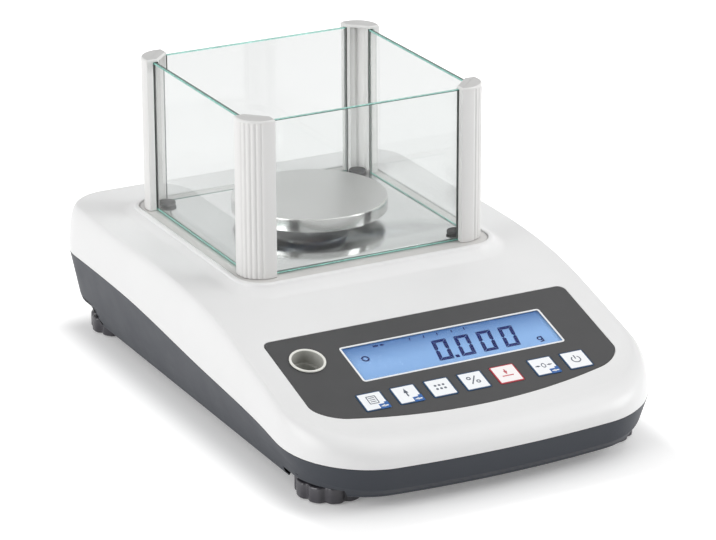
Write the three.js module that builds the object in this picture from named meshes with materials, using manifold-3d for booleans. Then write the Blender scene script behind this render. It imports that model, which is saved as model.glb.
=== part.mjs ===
// A precision balance with an open-topped glass draft shield, as separate pieces.
// Millimetres, +Z up. The origin lies on the table under the middle of the housing,
// and the display faces -Y. The shield and the pan stand over the rear of the housing.
import * as THREE from "three";
import { mergeVertices } from "three/addons/utils/BufferGeometryUtils.js";
import Module from "manifold-3d";

const wasm = await Module();
wasm.setup();

// Clearance between touching pieces, and how far a cutter runs past what it cuts
const gap = 0.3;
const overrun = 40;

// Housing outline where the white cover meets the dark tray
const housingWidth = 202;
const housingLength = 318;
const housingFrontRadius = 42;
const housingRearRadius = 30;
const housingBow = 8.5;

// Parting line: height over the table, from the front end to the rear end
const partingFrontHeight = 23.5;
const partingRearHeight = 44.5;
const partingPlaceShares = [0, 0.1, 0.22, 0.43, 0.66, 0.82, 1];
const partingRiseShares = [0, 0.13, 0.4, 0.64, 0.93, 1, 1];

// Deck: the sloping panel plane, which eases into a level rear deck
const panelSlopeDegrees = 16.4;
const panelRearShare = 0.2978;
const panelRearHeight = 59.15;
const deckHeight = 70;
const deckEaseStart = 2.3;
const deckEaseLength = 97;

// Crease where the deck turns down into the side walls
const creaseSideInset = 4.5;
const creaseFrontInset = 14.5;
const creaseRearInset = 10;
const creaseFrontRadius = 31;
const creaseRearRadius = 22;
const creaseBow = 12;
const shoulderRoundness = 2.3;

// Cover shell
const coverWall = 2.5;
const coverPostHoleRadius = 14;
const coverBossRadius = 4.5;
const coverBossBiteShare = 0.6;

// Pedestal that carries the shield
const panSetbackShare = 0.34277;
const pedestalHeight = 72.8;
const pedestalSideMargin = 8;
const pedestalFrontMargin = 11;
const pedestalRearMargin = 9;
const pedestalRimRadius = 15;
const pedestalFootFlare = 7.5;
const pedestalFootRadius = 22;
const pedestalRimRound = 1.2;
const seatLip = 1.4;
const seatDepth = 0.6;

// Tray shell
const trayBottomHeight = 7;
const trayWall = 2.5;
const trayBottomInset = 9;
const trayBottomFrontInset = 5;
const trayCreaseInset = 4.8;
const trayCreaseFrontInset = 2.5;
const trayCreaseHeight = 20;
const trayCreaseFrontHeight = 11.5;
const trayCreaseEaseLength = 58;
const trayEdgeRound = 1.4;
const trayShelf = 3.3;
const trayLipWall = 1.2;
const trayLipHeight = 2.4;

// Feet
const footSideInset = 26.1;
const footFrontInset = 41.5;
const footRearInset = 33;
const footWheelRadius = 17.5;
const footWheelBottom = 0.5;
const footWheelHeight = 8.4;
const footWheelLobes = 10;
const footLobeSteps = 3;
const footScallopDepth = 1.7;
const footWheelChamfer = 1;
const footPocketMargin = 2.6;
const footPocketReach = 62;
const footPocketFrontTop = 11;
const footPocketRearTop = 17;
const footStudRadius = 4;
const footStudLength = 20;
const footInsertWall = 1.6;
const footInsertHeight = 10;
const footInsertRise = 1.2;
const footBossWall = 2.4;
const footPadRadius = 12;
const footPadHeight = 4;
const footPadRound = 0.8;

// Housing screws and their bosses
const screwSideInset = 17;
const screwFrontSetback = 149;
const screwRearSetback = 64;
const screwHeadRadius = 3.2;
const screwHeadHeight = 2.6;
const screwHeadRecess = 1;
const screwShankRadius = 1.6;
const screwShankLength = 31;
const trayBossRadius = 5.2;
const trayBossHeight = 22;

// Sockets in a flat pocket at the rear
const socketPocketWidth = 84;
const socketPocketDepth = 12;
const socketPocketHeight = 24;
const socketPocketRise = 6;
const serialPlace = 18;
const serialFlangeWidth = 31;
const serialFlangeHeight = 12.6;
const serialFlangeThickness = 1;
const serialShellWidth = 17;
const serialShellHeight = 8.4;
const serialShellReach = 5.6;
const serialShellDraft = 1.4;
const serialBodyWidth = 19;
const serialBodyHeight = 9.8;
const serialBodyDepth = 9;
const jackPlace = -26;
const jackFlangeRadius = 5.6;
const jackFlangeThickness = 1.8;
const jackBodyRadius = 4.2;
const jackBodyDepth = 11;
const jackBoreRadius = 3;
const jackBoreDepth = 9;
const jackPinRadius = 1;

// Plug of the underfloor weighing opening
const hookPlugRadius = 10;
const hookPlugFlange = 1.2;
const hookNeckRadius = 7.6;
const hookNeckHeight = 3;

// Draft shield: four posts and four panes that lift off as one frame
const shieldSideMargin = 36.6;
const shieldDepthShare = 0.39874;
const postHeight = 82.8;
const paneHeight = 80.9;
const paneThickness = 2.5;
const postChord = 21.8;
const postSagitta = 6.7;
const postCornerCut = 4;
const postInnerDepth = 4.2;
const postInnerWidth = 13.8;
const postChannelRadius = 1.8;
const postChannelDepth = 1.8;
const postSlotStop = 4.6;
const postFlutes = 7;
const postFluteSteps = 4;
const postFluteDepth = 0.45;
const postFluteSpanShare = 0.62;

// Floor plate and the rubber studs that locate the shield
const floorPlateThickness = 0.8;
const floorPlateMargin = 0.9;
const floorPlateHoleRadius = 12;
const studRadius = 4.6;
const studHeight = 1.7;
const studRound = 0.5;
const studClearance = 0.5;
const studSetback = 6.8;

// Weighing pan and the carrier under it
const panRadius = 40;
const panTopRise = 14.4;
const panRimHeight = 6.9;
const panWall = 1.2;
const panEdgeRound = 0.7;
const panHubWall = 2;
const panHubHeight = 2.8;
const carrierDiscRadius = 20;
const carrierDiscThickness = 2;
const carrierSpigotRadius = 8;
const carrierPostRadius = 5;
const carrierArmThickness = 6;
const carrierArmReach = 14;
const carrierFootHeight = 4.3;

// Load cell stack
const cellBaseThickness = 5;
const cellBaseWidth = 64;
const cellBaseLength = 116;
const cellBaseHoleRadius = 10;
const cellSpacerHeight = 4;
const cellWidth = 20;
const cellHeight = 22;
const cellLength = 96;
const cellEndLength = 22;
const cellHoleRadius = 7.5;
const cellHoleSpacing = 24;
const cellSlotHeight = 5;
const cellStopRadius = 4;
const cellStopClearance = 0.6;

// Front panel: overlay, window and display stack, laid along the sloping plane
const overlaySideMargin = 11.8;
const overlayFrontMargin = 8.5;
const overlayThickness = 0.8;
const overlayFrontRadius = 15;
const overlayRearRadius = 4;
const overlayBowShare = 0.17393;
const windowLeftMargin = 34.85;
const windowRightMargin = 22.05;
const windowDepthShare = 0.37329;
const windowRadius = 1.5;
const windowRearShare = 0.19267;
const windowLedge = 2;
const lcdThickness = 2.2;
const backlightThickness = 3.6;
const displayBoardThickness = 1.6;
const displayBoardRightMargin = 4.7;
const displayBoardLeftMargin = 26.7;
const displayBoardRearMargin = 9;
const displayBossRadius = 3;
const displayBossInset = 4.5;
const displayBossKeyRoom = 6.8;

// Keys
const keySizeShare = 0.72826;
const keyCornerRadius = 0.9;
const keyProud = 0.2;
const keyCapThickness = 0.6;
const keyPlungerRadius = 1.8;
const keyTravel = 0.4;
const keyRowMargin = 2.44;
const keyLeftMargin = 32.1;
const keyRightMargin = 24.3;
const keyCount = 7;
const keyEndGroup = 2;
const keyGroupGap = 2.6;

// Level indicator
const levelSideMargin = 15.3;
const levelRearMargin = 19.4;
const levelCupRadius = 8.3;
const levelCupWall = 1;
const levelFlangeRadius = 9.3;
const levelFlangeThickness = 0.7;
const levelBoreDepth = 6.6;
const levelVialRadius = 5.6;
const levelVialHeight = 4.5;
const levelCupFloor = 1.4;

// Boards and the flat cable
const mainBoardWidth = 118;
const mainBoardDepthShare = 0.14465;
const mainBoardThickness = 1.6;
const mainBoardRise = 10;
const mainBoardFrontShare = 0.30818;
const mainBoardPostRadius = 3;
const mainBoardPostInset = 5;
const chipWidth = 22;
const chipDepth = 14;
const chipHeight = 4;
const chipPlace = 32;
const ribbonWidth = 18;
const ribbonThickness = 0.8;
const ribbonTopMargin = 30;
const ribbonBoardReach = 10;
const ribbonBend = 12;
const ribbonSteps = 10;

// Mesh steps
const cornerSteps = 6;
const crossSteps = 4;
const alongSteps = 8;
const shoulderRings = 5;
const innerShoulderRings = 3;
const deckRings = 4;
const roundSteps = 28;
const panSteps = 44;
const smallRoundSteps = 12;
const plugSteps = 20;
const arcSteps = 12;
const roundCornerSteps = 3;

// Axes for pieces that are drawn flat and turned into place
const axisX = new THREE.Vector3(1, 0, 0);
const axisY = new THREE.Vector3(0, 1, 0);
const axisZ = new THREE.Vector3(0, 0, 1);

// Places worked out from the sizes above
const frontY = -housingLength / 2;
const rearY = housingLength / 2;
const panY = rearY - housingLength * panSetbackShare;
const shieldWidth = housingWidth - shieldSideMargin * 2;
const shieldDepth = housingLength * shieldDepthShare;
const slope = THREE.MathUtils.degToRad(panelSlopeDegrees);
const panelRearY = frontY + housingLength * panelRearShare;
const mainBoardDepth = housingLength * mainBoardDepthShare;
const creaseHalf = housingWidth / 2 - creaseSideInset;
const creaseFrontY = frontY + creaseFrontInset;
const seatZ = pedestalHeight - seatDepth;
const plateTopZ = seatZ + gap + floorPlateThickness;
const trayFloorZ = trayBottomHeight + trayWall;
const socketWallY = rearY - socketPocketDepth;
const socketZ = trayBottomHeight + socketPocketRise + socketPocketHeight / 2;
const panTopZ = pedestalHeight + panTopRise;
const cellBaseZ = trayFloorZ + gap;
const cellZ = cellBaseZ + cellBaseThickness + gap + cellSpacerHeight + gap;
const recessDepth = overlayThickness + gap;
const lcdTop = -(recessDepth + gap);
const backlightTop = lcdTop - lcdThickness - gap;
const displayBoardTop = backlightTop - backlightThickness - gap;
const overlayHalf = creaseHalf - overlaySideMargin;
const overlayLength = (panelRearY - creaseFrontY - overlayFrontMargin) / Math.cos(slope);
const overlayBow = overlayLength * overlayBowShare;
const windowWidth = overlayHalf * 2 - windowLeftMargin - windowRightMargin;
const windowDepth = overlayLength * windowDepthShare;
const windowPlace = (windowLeftMargin - windowRightMargin) / 2;
const keyRowWidth = overlayHalf * 2 - keyLeftMargin - keyRightMargin;
const keyPitch = (keyRowWidth - keyGroupGap) / (keyCount - 1);
const keySize = keyPitch * keySizeShare;
const postMiddle = {
  x: shieldWidth / 2 - postCornerCut,
  y: shieldDepth / 2 - postCornerCut,
};

const housing = {
  half: housingWidth / 2,
  front: frontY,
  rear: rearY,
  frontRadius: housingFrontRadius,
  rearRadius: housingRearRadius,
  bow: housingBow,
};
const trayFoot = {
  ...inset(housing, trayBottomInset),
  front: frontY + trayBottomFrontInset,
};
const trayCrease = {
  ...inset(housing, trayCreaseInset),
  front: frontY + trayCreaseFrontInset,
};
const crease = {
  half: creaseHalf,
  front: creaseFrontY,
  rear: rearY - creaseRearInset,
  frontRadius: creaseFrontRadius,
  rearRadius: creaseRearRadius,
  bow: creaseBow,
};
const rim = {
  half: shieldWidth / 2 + pedestalSideMargin,
  front: panY - shieldDepth / 2 - pedestalFrontMargin,
  rear: panY + shieldDepth / 2 + pedestalRearMargin,
  frontRadius: pedestalRimRadius,
  rearRadius: pedestalRimRadius,
  bow: 0,
};
const pedestalFoot = {
  ...inset(rim, -pedestalFootFlare),
  frontRadius: pedestalFootRadius,
  rearRadius: pedestalFootRadius,
};
const overlayOutline = {
  half: overlayHalf,
  front: -overlayLength,
  rear: 0,
  frontRadius: overlayFrontRadius,
  rearRadius: overlayRearRadius,
  bow: overlayBow,
};

const finishes = {
  whiteShell: finish(0xeeeeef, 0.45),
  darkShell: finish(0x4d5156, 0.6),
  darkRubber: finish(0x2c2d2f, 0.85),
  blackWheel: finish(0x3a3b3e, 0.6),
  overlay: finish(0x4c4d50, 0.5),
  keyWhite: finish(0xe9edf2, 0.45),
  keyRed: finish(0xefc9cc, 0.45),
  brass: finish(0xb08d3c, 0.35, 1),
  steel: finish(0xc9cac8, 0.25, 1),
  aluminium: finish(0xb4b7ba, 0.4, 1),
  postGrey: finish(0xd9d8d3, 0.4, 0.3),
  glass: finish(0xd3ece6, 0.05),
  clear: finish(0xe6ecec, 0.1),
  lcd: finish(0x8fb7ee, 0.3),
  diffuser: finish(0xdfe6f4, 0.5),
  board: finish(0x2d6a3e, 0.6),
  cable: finish(0xb9bcc2, 0.6),
};

function finish(color, roughness, metalness = 0) {
  return new THREE.MeshStandardMaterial({ color, roughness, metalness });
}

// Height of the parting line at a place along the housing.
function partingZ(y) {
  const rise = smoothTable(partingPlaceShares, partingRiseShares, (y - frontY) / housingLength);
  return partingFrontHeight + (partingRearHeight - partingFrontHeight) * rise;
}

// Height of the deck: the panel plane, then a cubic ease to the level rear deck.
function deckZ(y) {
  const easeY = panelRearY + deckEaseStart;
  const grade = Math.tan(slope);
  if (y <= easeY) return panelRearHeight + grade * (y - panelRearY);
  const t = Math.min(1, (y - easeY) / deckEaseLength);
  const startZ = panelRearHeight + grade * deckEaseStart;
  const blend = t * t * (3 - 2 * t);
  const push = t * (1 - t) * (1 - t) * deckEaseLength * grade;
  return startZ + (deckHeight - startZ) * blend + push;
}

// Smooth curve through a table of shares, with slopes taken from the neighbours.
function smoothTable(places, values, at) {
  const last = places.length - 1;
  const place = Math.min(Math.max(at, places[0]), places[last]);
  let i = 0;
  while (i < last - 1 && place > places[i + 1]) i += 1;
  const step = places[i + 1] - places[i];
  const t = (place - places[i]) / step;
  const slopeAt = (k) => {
    const a = Math.max(0, k - 1);
    const b = Math.min(last, k + 1);
    return (values[b] - values[a]) / (places[b] - places[a]);
  };
  const blend = t * t * (3 - 2 * t);
  const leave = t * (1 - t) * (1 - t) * step * slopeAt(i);
  const arrive = t * t * (t - 1) * step * slopeAt(i + 1);
  return values[i] + (values[i + 1] - values[i]) * blend + leave + arrive;
}

// The same outline drawn in by a distance on every side.
function inset(outline, distance) {
  return {
    half: outline.half - distance,
    front: outline.front + distance,
    rear: outline.rear - distance,
    frontRadius: Math.max(outline.frontRadius - distance, gap),
    rearRadius: Math.max(outline.rearRadius - distance, gap),
    bow: outline.bow,
  };
}

// Points round an outline, from its front right corner, each corner a quarter arc.
// The front half is pushed back by the bow, in step with the square of x.
function outlinePoints({ half, front, rear, frontRadius, rearRadius, bow }) {
  const quarter = Math.PI / 2;
  const frontX = half - frontRadius;
  const rearX = half - rearRadius;
  const frontLine = front + frontRadius;
  const rearLine = rear - rearRadius;
  const corners = [
    { x: frontX, y: frontLine, radius: frontRadius, start: -quarter },
    { x: rearX, y: rearLine, radius: rearRadius, start: 0 },
    { x: -rearX, y: rearLine, radius: rearRadius, start: quarter },
    { x: -frontX, y: frontLine, radius: frontRadius, start: quarter + quarter },
  ];
  const arcs = corners.map(({ x, y, radius, start }) =>
    steps(cornerSteps).map((share) => [
      x + radius * Math.cos(start + share * quarter),
      y + radius * Math.sin(start + share * quarter),
    ]),
  );
  const points = arcs.flatMap((arc, i) => {
    const next = arcs[(i + 1) % arcs.length][0];
    const count = i % 2 === 0 ? alongSteps : crossSteps;
    return [...arc, ...between(arc[arc.length - 1], next, count)];
  });
  const middle = (front + rear) / 2;
  return points.map(([x, y]) => {
    const share = Math.max(0, (middle - y) / (middle - front));
    return [x, y + bow * (x / half) ** 2 * share];
  });
}

// Shares from 0 to 1 in even steps.
function steps(count) {
  return Array.from({ length: count + 1 }, (_, k) => k / count);
}

function between(a, b, count) {
  return steps(count)
    .slice(1, -1)
    .map((share) => [a[0] + (b[0] - a[0]) * share, a[1] + (b[1] - a[1]) * share]);
}

// One ring of a loft: an outline's points, each at the height given for its place.
function ring(outline, height) {
  return outlinePoints(outline).map(([x, y]) => new THREE.Vector3(x, y, height(y)));
}

function mixRings(a, b, outShare, upShare) {
  return a.map((p, i) => {
    const q = b[i];
    return new THREE.Vector3(
      p.x + (q.x - p.x) * outShare,
      p.y + (q.y - p.y) * outShare,
      p.z + (q.z - p.z) * upShare,
    );
  });
}

// A round ring over the pan centre whose points face the points of another ring.
function roundRing(like, radius, z) {
  return like.map((p) => {
    const angle = Math.atan2(p.y - panY, p.x);
    return new THREE.Vector3(radius * Math.cos(angle), panY + radius * Math.sin(angle), z);
  });
}

// Closed skin over a row of rings. A looped row joins its last ring to its first;
// otherwise a point on the centre line closes each end.
function loft(rings, looped) {
  const count = rings[0].length;
  const points = rings.flat();
  const faces = [];
  const bands = looped ? rings.length : rings.length - 1;
  for (let r = 0; r < bands; r += 1) {
    const a = r * count;
    const b = ((r + 1) % rings.length) * count;
    for (let i = 0; i < count; i += 1) {
      const j = (i + 1) % count;
      faces.push(a + i, a + j, b + j, a + i, b + j, b + i);
    }
  }
  if (!looped) closeEnds(rings, points, faces);
  return skin(points, faces);
}

function closeEnds(rings, points, faces) {
  const count = rings[0].length;
  const lastStart = (rings.length - 1) * count;
  const startPole = points.push(middleOf(rings[0])) - 1;
  const endPole = points.push(middleOf(rings[rings.length - 1])) - 1;
  for (let i = 0; i < count; i += 1) {
    const j = (i + 1) % count;
    faces.push(startPole, j, i);
    faces.push(endPole, lastStart + i, lastStart + j);
  }
}

function middleOf(points) {
  const box = new THREE.Box3().setFromPoints(points);
  return box.getCenter(new THREE.Vector3());
}

function skin(points, faces) {
  const geometry = new THREE.BufferGeometry().setFromPoints(points);
  geometry.setIndex(faces);
  return facingOut(geometry);
}

// Turns every face round if the surface encloses a negative volume.
function facingOut(geometry) {
  const merged = welded(geometry);
  const index = merged.index.array;
  const p = merged.attributes.position;
  const [a, b, c] = [new THREE.Vector3(), new THREE.Vector3(), new THREE.Vector3()];
  let volume = 0;
  for (let i = 0; i < index.length; i += 3) {
    a.fromBufferAttribute(p, index[i]);
    b.fromBufferAttribute(p, index[i + 1]);
    c.fromBufferAttribute(p, index[i + 2]);
    volume += a.dot(b.cross(c));
  }
  if (volume >= 0) return merged;
  for (let i = 0; i < index.length; i += 3) {
    [index[i + 1], index[i + 2]] = [index[i + 2], index[i + 1]];
  }
  return merged;
}

function welded(geometry) {
  const bare = geometry.clone();
  Object.keys(bare.attributes).forEach((name) => {
    if (name !== "position") bare.deleteAttribute(name);
  });
  const merged = mergeVertices(bare);
  const kept = [];
  const index = merged.index.array;
  for (let i = 0; i < index.length; i += 3) {
    const [a, b, c] = [index[i], index[i + 1], index[i + 2]];
    if (a !== b && b !== c && c !== a) kept.push(a, b, c);
  }
  merged.setIndex(kept);
  return merged;
}

function solid(geometry) {
  const shape = facingOut(geometry);
  const vertProperties = Float32Array.from(shape.attributes.position.array);
  const triVerts = Uint32Array.from(shape.index.array);
  return new wasm.Manifold(new wasm.Mesh({ numProp: 3, vertProperties, triVerts }));
}

function fuse(...geometries) {
  return surface(geometries.map(solid).reduce((sum, next) => sum.add(next)));
}

function cut(geometry, ...tools) {
  return surface(tools.map(solid).reduce((rest, tool) => rest.subtract(tool), solid(geometry)));
}

function common(a, b) {
  return surface(solid(a).intersect(solid(b)));
}

function surface(body) {
  const mesh = body.getMesh();
  const geometry = new THREE.BufferGeometry();
  const positions = new THREE.BufferAttribute(mesh.vertProperties, mesh.numProp);
  geometry.setAttribute("position", positions);
  geometry.setIndex(Array.from(mesh.triVerts));
  return geometry;
}

// Upright primitives that stand on a point.
function box(width, depth, height, x, y, z) {
  return new THREE.BoxGeometry(width, depth, height).translate(x, y, z + height / 2);
}

function rod(radius, height, x, y, z, sides = smallRoundSteps) {
  const geometry = new THREE.CylinderGeometry(radius, radius, height, sides);
  return geometry.rotateX(Math.PI / 2).translate(x, y, z + height / 2);
}

// A turned piece: a profile of radius and height pairs, from the axis back to the axis.
function turned(profile, sides = roundSteps) {
  const points = profile.map(([radius, z]) => new THREE.Vector2(radius, z));
  return facingOut(new THREE.LatheGeometry(points, sides).rotateX(Math.PI / 2));
}

// A flat piece: a shape drawn in x and y, filled between two heights.
function slab(shape, bottom, top) {
  const settings = { depth: top - bottom, bevelEnabled: false };
  return new THREE.ExtrudeGeometry(shape, settings).translate(0, 0, bottom);
}

function shapeOf(points) {
  return new THREE.Shape(points.map(([x, y]) => new THREE.Vector2(x, y)));
}

// Points along an arc, both ends included.
function arc(x, y, radius, start, sweep, count) {
  return steps(count).map((share) => {
    const angle = start + sweep * share;
    return [x + radius * Math.cos(angle), y + radius * Math.sin(angle)];
  });
}

function roundedRectangle(width, depth, radius, x, y) {
  const quarter = Math.PI / 2;
  const [w, d] = [width / 2 - radius, depth / 2 - radius];
  return shapeOf([
    ...arc(x + w, y - d, radius, -quarter, quarter, roundCornerSteps),
    ...arc(x + w, y + d, radius, 0, quarter, roundCornerSteps),
    ...arc(x - w, y + d, radius, quarter, quarter, roundCornerSteps),
    ...arc(x - w, y - d, radius, Math.PI, quarter, roundCornerSteps),
  ]);
}

function circle(radius, x, y, sides = smallRoundSteps) {
  return shapeOf(arc(x, y, radius, 0, Math.PI * 2, sides).slice(0, -1));
}

// Cover: one skin over the outer rings and back along the inner ones.
function coverSkin() {
  const outer = coverRings(0);
  const inner = coverRings(coverWall);
  return loft([...outer, ...inner.reverse()], true);
}

// Rings from the post hole out over the pedestal and the deck and down to the parting line.
function coverRings(depth) {
  const deck = (y) => deckZ(y) - depth;
  const shell = ring(inset(housing, depth), partingZ);
  const edge = ring(inset(crease, depth), deck);
  const foot = ring(inset(pedestalFoot, depth), deck);
  const top = pedestalRings(depth);
  const hole = roundRing(foot, coverPostHoleRadius, depth > 0 ? pedestalHeight - depth : seatZ);
  const shoulder = steps(depth > 0 ? innerShoulderRings : shoulderRings).map((share) => {
    const angle = (share * Math.PI) / 2;
    const power = 2 / shoulderRoundness;
    return mixRings(shell, edge, 1 - Math.cos(angle) ** power, Math.sin(angle) ** power);
  });
  const field = steps(deckRings)
    .slice(1, -1)
    .map((share) => onDeck(mixRings(edge, foot, share, share), deck));
  return [hole, ...top, foot, ...field.reverse(), ...shoulder.reverse()];
}

function onDeck(points, deck) {
  return points.map((p) => new THREE.Vector3(p.x, p.y, deck(p.y)));
}

function pedestalRings(depth) {
  const top = pedestalHeight - depth;
  if (depth > 0) return [ring(inset(rim, depth), () => top)];
  const lip = inset(rim, seatLip);
  const shoulder = inset(rim, -pedestalRimRound);
  return [
    ring(lip, () => seatZ),
    ring(lip, () => top),
    ring(rim, () => top),
    ring(shoulder, () => top - pedestalRimRound / 2),
  ];
}

function topCover() {
  const bosses = screwPlaces().map(({ x, y }) => {
    const bottom = trayBottomHeight + trayBossHeight + gap;
    const top = deckZ(y) - coverWall * coverBossBiteShare;
    return rod(coverBossRadius, top - bottom, x, y, bottom);
  });
  const pilots = screwPlaces().map(({ x, y }) => {
    const bottom = trayBottomHeight + trayBossHeight;
    const top = screwHeadBottom() + screwHeadHeight + screwShankLength + gap;
    return rod(screwShankRadius + gap, top - bottom, x, y, bottom);
  });
  const hung = displayBossPlaces().map(({ x, y }) =>
    onPanel(rod(displayBossRadius, lcdTop - displayBoardTop - gap, x, y, displayBoardTop + gap)),
  );
  const openings = [recessTool(), windowTool(), levelTool(), ...plungerTools()].map(onPanel);
  return cut(fuse(coverSkin(), ...bosses, ...hung), ...openings, ...pilots);
}

// Panel places: x across, y up the slope from the overlay's rear edge, z off the plane.
function panelMatrix() {
  const place = new THREE.Vector3(0, panelRearY, panelRearHeight);
  const turn = new THREE.Quaternion().setFromAxisAngle(new THREE.Vector3(1, 0, 0), slope);
  return new THREE.Matrix4().compose(place, turn, new THREE.Vector3(1, 1, 1));
}

function onPanel(geometry) {
  return geometry.applyMatrix4(panelMatrix());
}

function recessTool() {
  return slab(shapeOf(outlinePoints(inset(overlayOutline, -gap))), -recessDepth, overrun);
}

function windowMiddle() {
  return -(overlayLength * windowRearShare + windowDepth / 2);
}

function windowShape(shrink) {
  const [width, depth] = [windowWidth - shrink * 2, windowDepth - shrink * 2];
  return roundedRectangle(width, depth, windowRadius, windowPlace, windowMiddle());
}

function windowTool() {
  return slab(windowShape(windowLedge), -(coverWall * 2), 0);
}

function plungerTools() {
  const depth = coverWall * 2;
  return keyPlaces().map(({ x, y }) => rod(keyPlungerRadius + gap, depth, x, y, -depth));
}

function levelPlace() {
  return { x: levelSideMargin - overlayHalf, y: -levelRearMargin };
}

function levelTool() {
  const { x, y } = levelPlace();
  const depth = coverWall * 2;
  return rod(levelCupRadius + gap, depth, x, y, -depth, roundSteps);
}

function displayBoardSpan() {
  return {
    left: displayBoardLeftMargin - overlayHalf,
    right: overlayHalf - displayBoardRightMargin,
    rear: -displayBoardRearMargin,
    front: keyRowY() - displayBossKeyRoom - displayBossInset,
  };
}

function displayBossPlaces() {
  const { left, right, rear, front } = displayBoardSpan();
  const sides = [left + displayBossInset, right - displayBossInset];
  return sides.flatMap((x) => [
    { x, y: rear - displayBossInset },
    { x, y: front + displayBossInset },
  ]);
}

function screwPlaces() {
  const x = housingWidth / 2 - screwSideInset;
  const [front, rear] = [frontY + screwFrontSetback, rearY - screwRearSetback];
  return [
    { name: "front_left", x: -x, y: front },
    { name: "front_right", x, y: front },
    { name: "rear_left", x: -x, y: rear },
    { name: "rear_right", x, y: rear },
  ];
}

function screwHeadBottom() {
  return trayBottomHeight + screwHeadRecess;
}

function housingScrew() {
  const head = screwHeadBottom();
  const neck = head + screwHeadHeight;
  return turned(
    [
      [0, head],
      [screwHeadRadius, head],
      [screwHeadRadius, neck],
      [screwShankRadius, neck],
      [screwShankRadius, neck + screwShankLength],
      [0, neck + screwShankLength],
    ],
    smallRoundSteps,
  );
}

// Tray: outer wall up to the shelf that the cover stands on, a lip, and the inside.
function trayOuterRings() {
  const bottom = () => trayBottomHeight;
  const top = (y) => partingZ(y) - gap;
  return [
    ring(inset(trayFoot, trayEdgeRound), bottom),
    ring(trayFoot, () => trayBottomHeight + trayEdgeRound),
    ring(trayCrease, trayCreaseZ),
    ring(housing, top),
  ];
}

// Height of the crease round the tray: level, then easing down to the front end.
function trayCreaseZ(y) {
  const t = Math.min(1, Math.max(0, (y - frontY) / trayCreaseEaseLength));
  const blend = t * t * (3 - 2 * t);
  return trayCreaseFrontHeight + (trayCreaseHeight - trayCreaseFrontHeight) * blend;
}

function trayInnerRings() {
  const top = (y) => partingZ(y) - gap;
  const lip = (y) => top(y) + trayLipHeight;
  const inside = trayShelf + trayLipWall;
  return [
    ring(inset(housing, trayShelf), top),
    ring(inset(housing, trayShelf), lip),
    ring(inset(housing, inside), lip),
    ring(inset(trayCrease, trayWall), trayCreaseZ),
    ring(inset(trayFoot, trayEdgeRound + trayWall), () => trayFloorZ),
  ];
}

function baseTray() {
  const envelope = loft(trayOuterRings(), false);
  const shell = loft([...trayOuterRings(), ...trayInnerRings()], false);
  const blocks = [...footPlaces().map(footBlock), socketBlock()];
  const kept = blocks.map((block) => common(block, envelope));
  const bosses = [...footPlaces().map(footBoss), ...screwPlaces().map(screwBoss)];
  const posts = mainBoardPosts();
  const tools = [
    ...footPlaces().flatMap((foot) => [footPocket(foot), footBore(foot)]),
    ...screwPlaces().flatMap(screwTools),
    ...socketTools(),
    ...hookTools(),
  ];
  return cut(fuse(shell, ...kept, ...bosses, ...posts), ...tools);
}

function footPlaces() {
  const x = housingWidth / 2 - footSideInset;
  const [front, rear] = [frontY + footFrontInset, rearY - footRearInset];
  return [
    { name: "front_left", x: -x, y: front, across: -1, along: -1, ceiling: footPocketFrontTop },
    { name: "front_right", x, y: front, across: 1, along: -1, ceiling: footPocketFrontTop },
    { name: "rear_left", x: -x, y: rear, across: -1, along: 1, ceiling: footPocketRearTop },
    { name: "rear_right", x, y: rear, across: 1, along: 1, ceiling: footPocketRearTop },
  ];
}

// Pocket over a foot: round about the wheel and drawn out to a point past the corner,
// so that the two straight sides leave the tray near its front and its side.
function footPocketGeometry({ x, y, across, along }, wall, bottom, top) {
  const radius = footWheelRadius + footPocketMargin + wall;
  const reach = footPocketReach + wall * 2;
  const open = Math.acos(radius / reach);
  const sweep = (Math.PI - open) * 2;
  const tip = reach / Math.SQRT2;
  const round = arc(0, 0, radius, Math.PI / 4 + open, sweep, arcSteps);
  const geometry = slab(shapeOf([...round, [tip, tip]]), bottom, top).scale(across, along, 1);
  return facingOut(geometry).translate(x, y, 0);
}

function footPocket(foot) {
  return footPocketGeometry(foot, 0, trayBottomHeight - overrun, foot.ceiling);
}

function footBlock(foot) {
  return footPocketGeometry(foot, trayWall, trayBottomHeight, foot.ceiling + trayWall);
}

function footInsertRadius() {
  return footStudRadius + gap + footInsertWall;
}

function footBoss({ x, y, ceiling }) {
  const radius = footInsertRadius() + gap + footBossWall;
  return rod(radius, footInsertRise + footInsertHeight, x, y, ceiling);
}

function footBore({ x, y, ceiling }) {
  const radius = footInsertRadius() + gap;
  return rod(radius, footInsertRise + footInsertHeight + trayWall, x, y, ceiling - gap);
}

function footInsert({ ceiling }) {
  const [inner, outer] = [footStudRadius + gap, footInsertRadius()];
  const bottom = ceiling + footInsertRise;
  const shape = circle(outer, 0, 0);
  shape.holes.push(circle(inner, 0, 0));
  return slab(shape, bottom, bottom + footInsertHeight);
}

// Thumbwheel: a lobed disc with chamfered edges, a well for the pad, and the stud on top.
function footWheel() {
  const lobes = footWheelLobes * footLobeSteps;
  const points = steps(lobes)
    .slice(0, -1)
    .map((share) => {
      const angle = (share + 1 / lobes / 2) * Math.PI * 2;
      const wave = (1 - Math.cos(angle * footWheelLobes)) / 2;
      const radius = footWheelRadius - footWheelChamfer - footScallopDepth * wave ** 3;
      return [radius * Math.cos(angle), radius * Math.sin(angle)];
    });
  const disc = new THREE.ExtrudeGeometry(shapeOf(points), {
    depth: footWheelHeight - footWheelChamfer * 2,
    bevelThickness: footWheelChamfer,
    bevelSize: footWheelChamfer,
    bevelSegments: 1,
  }).translate(0, 0, footWheelBottom + footWheelChamfer);
  const top = footWheelBottom + footWheelHeight;
  const stud = rod(footStudRadius, footStudLength + footWheelChamfer, 0, 0, top - footWheelChamfer);
  const well = rod(footPadRadius + gap, footPadHeight + gap, 0, 0, 0, plugSteps);
  return cut(fuse(disc, stud), well);
}

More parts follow.
